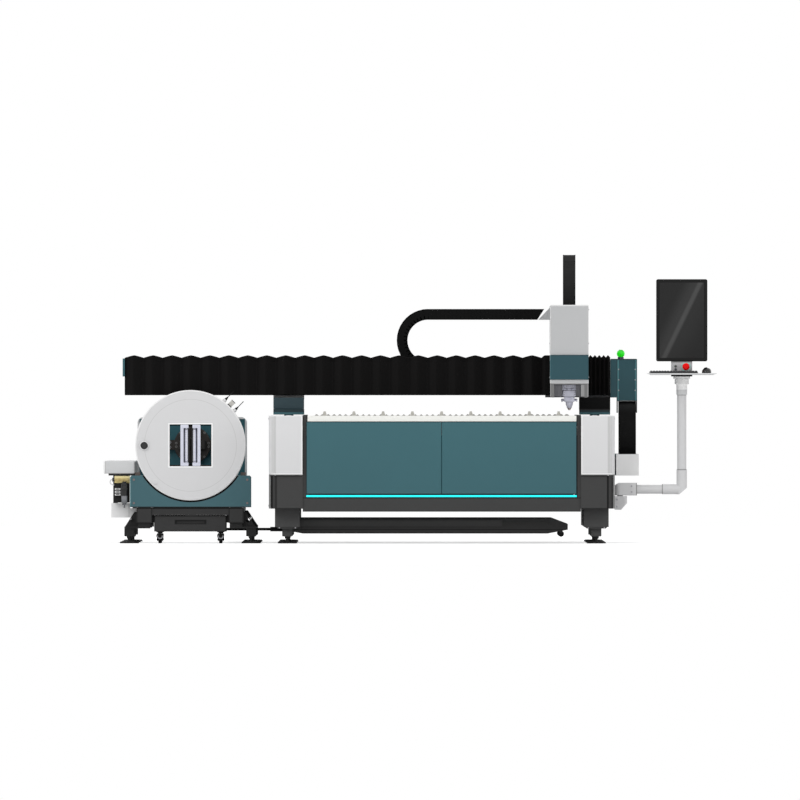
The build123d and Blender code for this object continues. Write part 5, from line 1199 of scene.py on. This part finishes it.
bowl = 1 - filter_z.rise(0.3082, 0.3088)
bowl_colour = filter_z.rise(0.262, 0.3).blend(srgb(104, 106, 110), srgb(132, 134, 138))
collar = filter_z.between(0.3525, 0.3565, 0.0004) + filter_z.between(0.385, 0.3885, 0.0004)
connect(bowl.blend(collar.blend(srgb(30), srgb(64)), bowl_colour), filter_shader, "Base Color")
grip = filter_x.math("ARCTAN2", filter_x + 1.857, filter_y + 1.683)
knurl = grip.node("Math", {"operation": "PINGPONG"}, {0: grip, 1: 0.13}) * filter_z.rise(0.385, 0.39)
bumped(filter_shader, knurl, 0.01)
coat(filter_plastic, "filter_regulator")
hose = bpy.data.curves.new("elbow", "CURVE")
hose.dimensions = "3D"
hose.bevel_depth, hose.bevel_resolution = 0.0028, 3
line = hose.splines.new("NURBS")
line.points.add(4)
for nub, corner in zip(line.points, ((-1.934, -1.631, 0.414), (-1.946, -1.631, 0.414), (-1.950, -1.631, 0.404),
                                     (-1.950, -1.631, 0.384), (-1.922, -1.631, 0.378))):
    nub.co = (*corner, 1)
line.order_u = 3
line.use_endpoint_u = True
elbow = bpy.data.objects.new("elbow", hose)
bpy.context.collection.objects.link(elbow)
deselect()
elbow.select_set(True)
bpy.context.view_layer.objects.active = elbow
bpy.ops.object.convert(target="MESH")
elbow = bpy.context.object
gauge_face = turned([(0.0, 0.0), (0.0115, 0.0), (0.0115, -0.008), (0.0095, -0.0095), (0.0, -0.0095)],
                    (-1.857, -1.7035, 0.362), "Y", 24)
fitted(joined("air_elbow", [elbow], powder_coat("clear_tube", srgb(214, 214, 216), roughness=0.3)), "bed",
       "air_manifold")
fitted(joined("pressure_gauge", [gauge_face], powder_coat("gauge_plastic", srgb(46), roughness=0.3)), "bed",
       "filter_regulator")
valve_slots = []
for valve in range(3):
    height = 0.317 + 0.018 * valve
    valve_slots.append(block((-1.911, -1.6632, height - 0.0024), (-1.889, -1.6615, height + 0.0024), bevel=0.0005))
    valve_slots.append(block((-1.8815, -1.6632, height - 0.004), (-1.8795, -1.6400, height + 0.004), bevel=0.0005))
fitted(joined("valve_plugs", valve_slots, nylon), "bed", "valve_panel")

# Console. A painted pipe arm, bolted to a cast bracket on the bed, carries the desk, the control box
# and the screen.
arm_areas = [(box_area(x=(1.6375, 1.6425)), srgb(150)), (box_area(z=(0.4765, 0.4825)), srgb(150)),
             (box_area(x=(1.469, 1.4745), z=(0.3, 0.40)), srgb(140)), (box_area(z=(0.309, 0.314)), srgb(140)),
             (box_area(z=(0.962, 0.967)), srgb(150))]
coat(powder_coat("pipe_paint", srgb(214, 214, 215), roughness=0.45, cloudiness=0.02, areas=arm_areas), "console_arm")
coat(powder_coat("bracket_paint", srgb(206, 206, 207), roughness=0.5, cloudiness=0.03), "console_bracket")
# The part under the desk, 1.0 to 1.0845 m, is painted near white to make up for the shadow it stands in.
desk_areas = [(box_area(z=(1.030, 1.037)), srgb(120)), (box_area(z=(1.064, 1.071)), srgb(120)),
              (box_area(z=(1.0, 1.0845)), srgb(252)), (box_area(z=(1.0850, 1.0965)), srgb(10))]
coat(powder_coat("desk_paint", srgb(214, 215, 216), roughness=0.45, cloudiness=0.02, areas=desk_areas), "desk")
STOP_X, STOP_Z, BUTTON_X = 1.793, 1.149, 1.726
control_areas = [(ring_area(STOP_X, STOP_Z, 0.0225, 0.0325), srgb(176, 222, 216)),
                 (ring_area(BUTTON_X, 1.151, -1.0, 0.0085), srgb(96)),
                 (ring_area(BUTTON_X, 1.131, -1.0, 0.0085), srgb(96)),
                 (box_area(z=(1.176, 1.184)), srgb(112)), (box_area(z=(1.1, 1.110)), srgb(120))]
# The box is painted lighter towards the top, as painted light.
coat(powder_coat("control_box_paint", srgb(188, 188, 190), roughness=0.45, areas=control_areas,
                 height_shade=(1.11, 1.18, 0.05)),
     "control_box")
lock_places = [((x, -1.775, z), FRONT) for x in (1.706, 1.825) for z in (1.117, 1.172)]
screws("control_box_screws", "console", "control_box", 0.0028, 0.0015, lock_places)
arm_places = ([((1.440, -1.783, z), FRONT) for z in (0.335, 0.372)]
              + [((1.345, -1.783, z), FRONT) for z in (0.24, 0.285)])
screws("knuckle_screws", "console_arm", "console_arm", 0.006, 0.004, arm_places[:2])
screws("bracket_screws", "bed", "console_bracket", 0.006, 0.004, arm_places[2:])

# Screen. A flat panel behind dark glass in a slim moulded bezel, with a soft diagonal reflection painted on the glass,
# and rows of vents in its back.
screen, screen_shader, screen_place = new_finish("screen_and_bezel", 0.25, specular=0.12)
screen_low, screen_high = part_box("monitor")
screen_x, screen_y, screen_z = axes(screen_place)
BEZEL = 0.022
face = screen_x.between(screen_low[0] + BEZEL, screen_high[0] - BEZEL, 0.0006)
face = (face * screen_z.between(screen_low[2] + BEZEL, screen_high[2] - BEZEL, 0.0006)
        * (1 - screen_y.rise(-1.759, -1.757)))
# The glass is painted with a soft diagonal reflection: bands a little lighter and darker across it and a pale streak
# along the diagonal.
beside = (screen_x - 1.6507) - (screen_z - 1.2046) / 2.068
glass = beside.rise(-0.13, -0.03).blend(srgb(42), srgb(57))
glass = beside.rise(0.008, 0.030).blend(glass, beside.rise(0.03, 0.20).blend(srgb(49), srgb(41)))
glass = beside.between(-0.016, 0.014, 0.010).blend(glass, srgb(76))
outline = screen_x.between(screen_low[0] + 0.006, screen_high[0] - 0.006, 0.0006)
outline = outline * screen_z.between(screen_low[2] + 0.006, screen_high[2] - 0.006, 0.0006)
frame_tint = (outline * (0.9 + noise(screen_place, 500.0) * 0.2)).blend(srgb(8), srgb(30))
connect(face.blend(frame_tint, glass), screen_shader, "Base Color")
connect(face * -0.15 + 0.45, screen_shader, "Roughness")
coat(screen, "monitor")
VENT_PITCH, VENT_LEFT, VENT_WIDTH = 0.0145, 1.640, 0.0085
vents = [block((VENT_LEFT + VENT_PITCH * k, -1.7215, 1.42), (VENT_LEFT + VENT_WIDTH + VENT_PITCH * k, -1.7190, 1.64),
               bevel=0.0008) for k in range(18)]
fitted(joined("monitor_vents", vents, nylon), "console", "monitor")

# Keyboard and mouse. Moulded black plastic: rows of separate keys on a sloping base, and a rounded mouse with a wheel.
key_plastic = powder_coat("key_plastic", srgb(58, 58, 60), roughness=0.5)
case_plastic = powder_coat("case_plastic", srgb(34), roughness=0.4)
board_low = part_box("keyboard")[0]
coat(case_plastic, "keyboard")
deselect()
bpy.ops.mesh.primitive_cube_add(size=1)
key = bpy.context.object
for corner in key.data.vertices:
    narrow = 0.0068 if corner.co.z > 0 else 0.0085
    corner.co = (narrow * (1 if corner.co.x > 0 else -1), narrow * (1 if corner.co.y > 0 else -1),
                 0.004 if corner.co.z > 0 else -0.003)
apply_modifier(key, "BEVEL", width=0.0008, segments=2)
KEY_ROWS, KEY_COLUMNS, KEY_PITCH, ROW_PITCH, FIRST_KEY_Z, ROW_RISE = 6, 17, 0.0182, 0.0184, 1.1125, 0.00125
key_places = [Matrix.Translation((board_low[0] + 0.0135 + KEY_PITCH * column, board_low[1] + 0.0120 + ROW_PITCH * row,
                                  FIRST_KEY_Z + ROW_RISE * row))
              for row in range(KEY_ROWS) for column in range(KEY_COLUMNS)]
fitted(strung("keys", key, key_places, key_plastic), "console", "keyboard")
bpy.data.objects.remove(key)
gloss = mottled("glossy_black_plastic", srgb(22), (0.9, 0.2, 80.0), roughness=0.15, specular=0.5)
mouse_low, mouse_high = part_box("mouse")
middle = (mouse_low + mouse_high) / 2
reach = (mouse_high - mouse_low) / 2
deselect()
bpy.ops.mesh.primitive_uv_sphere_add(segments=36, ring_count=22, radius=1)
shell = bpy.context.object
BASE_CUT = 0.25
for corner in shell.data.vertices:
    x, y, z = corner.co
    flat = max(z, -BASE_CUT)
    width = reach[0] * (0.93 - 0.10 * y)
    arch = (flat + BASE_CUT) / (1 + BASE_CUT) * (mouse_high[2] - mouse_low[2] - 0.001) * (1 - 0.16 * y * y)
    corner.co = (middle[0] + x * width, middle[1] + y * reach[1] * 0.98, mouse_low[2] + 0.0006 + arch)
mouse_shell = settle(shell, "mouse_shell")
bpy.ops.object.shade_smooth_by_angle(angle=SHARP * 1.5)
wheel = turned([(0.0, -0.0035), (0.008, -0.0035), (0.009, -0.002), (0.009, 0.002), (0.008, 0.0035), (0.0, 0.0035)],
               (middle[0], middle[1] - 0.030, mouse_high[2] - 0.0108), "X", 28)
mouse_piece = joined("mouse_shell", [mouse_shell], gloss)
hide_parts("mouse")
fitted(mouse_piece, "console", "mouse")
fitted(joined("mouse_wheel", [wheel], nylon), "console", "mouse")

# Buttons. Moulded caps on steel stems: the red mushroom latches the machine off, and the two small
# ones start and reset it.
for name, tint, button in (("red_plastic", (255, 2, 2), "stop_button"),
                           ("dark_start_plastic", (88, 94, 90), "start_button"),
                           ("dark_reset_plastic", (86, 88, 98), "reset_button")):
    coat(mottled(name, srgb(*tint), (0.9, 0.2, 60.0), (0.2, 0.2, 120.0), roughness=0.3, specular=0.2), button)
bpy.data.objects.remove(cap_screw)
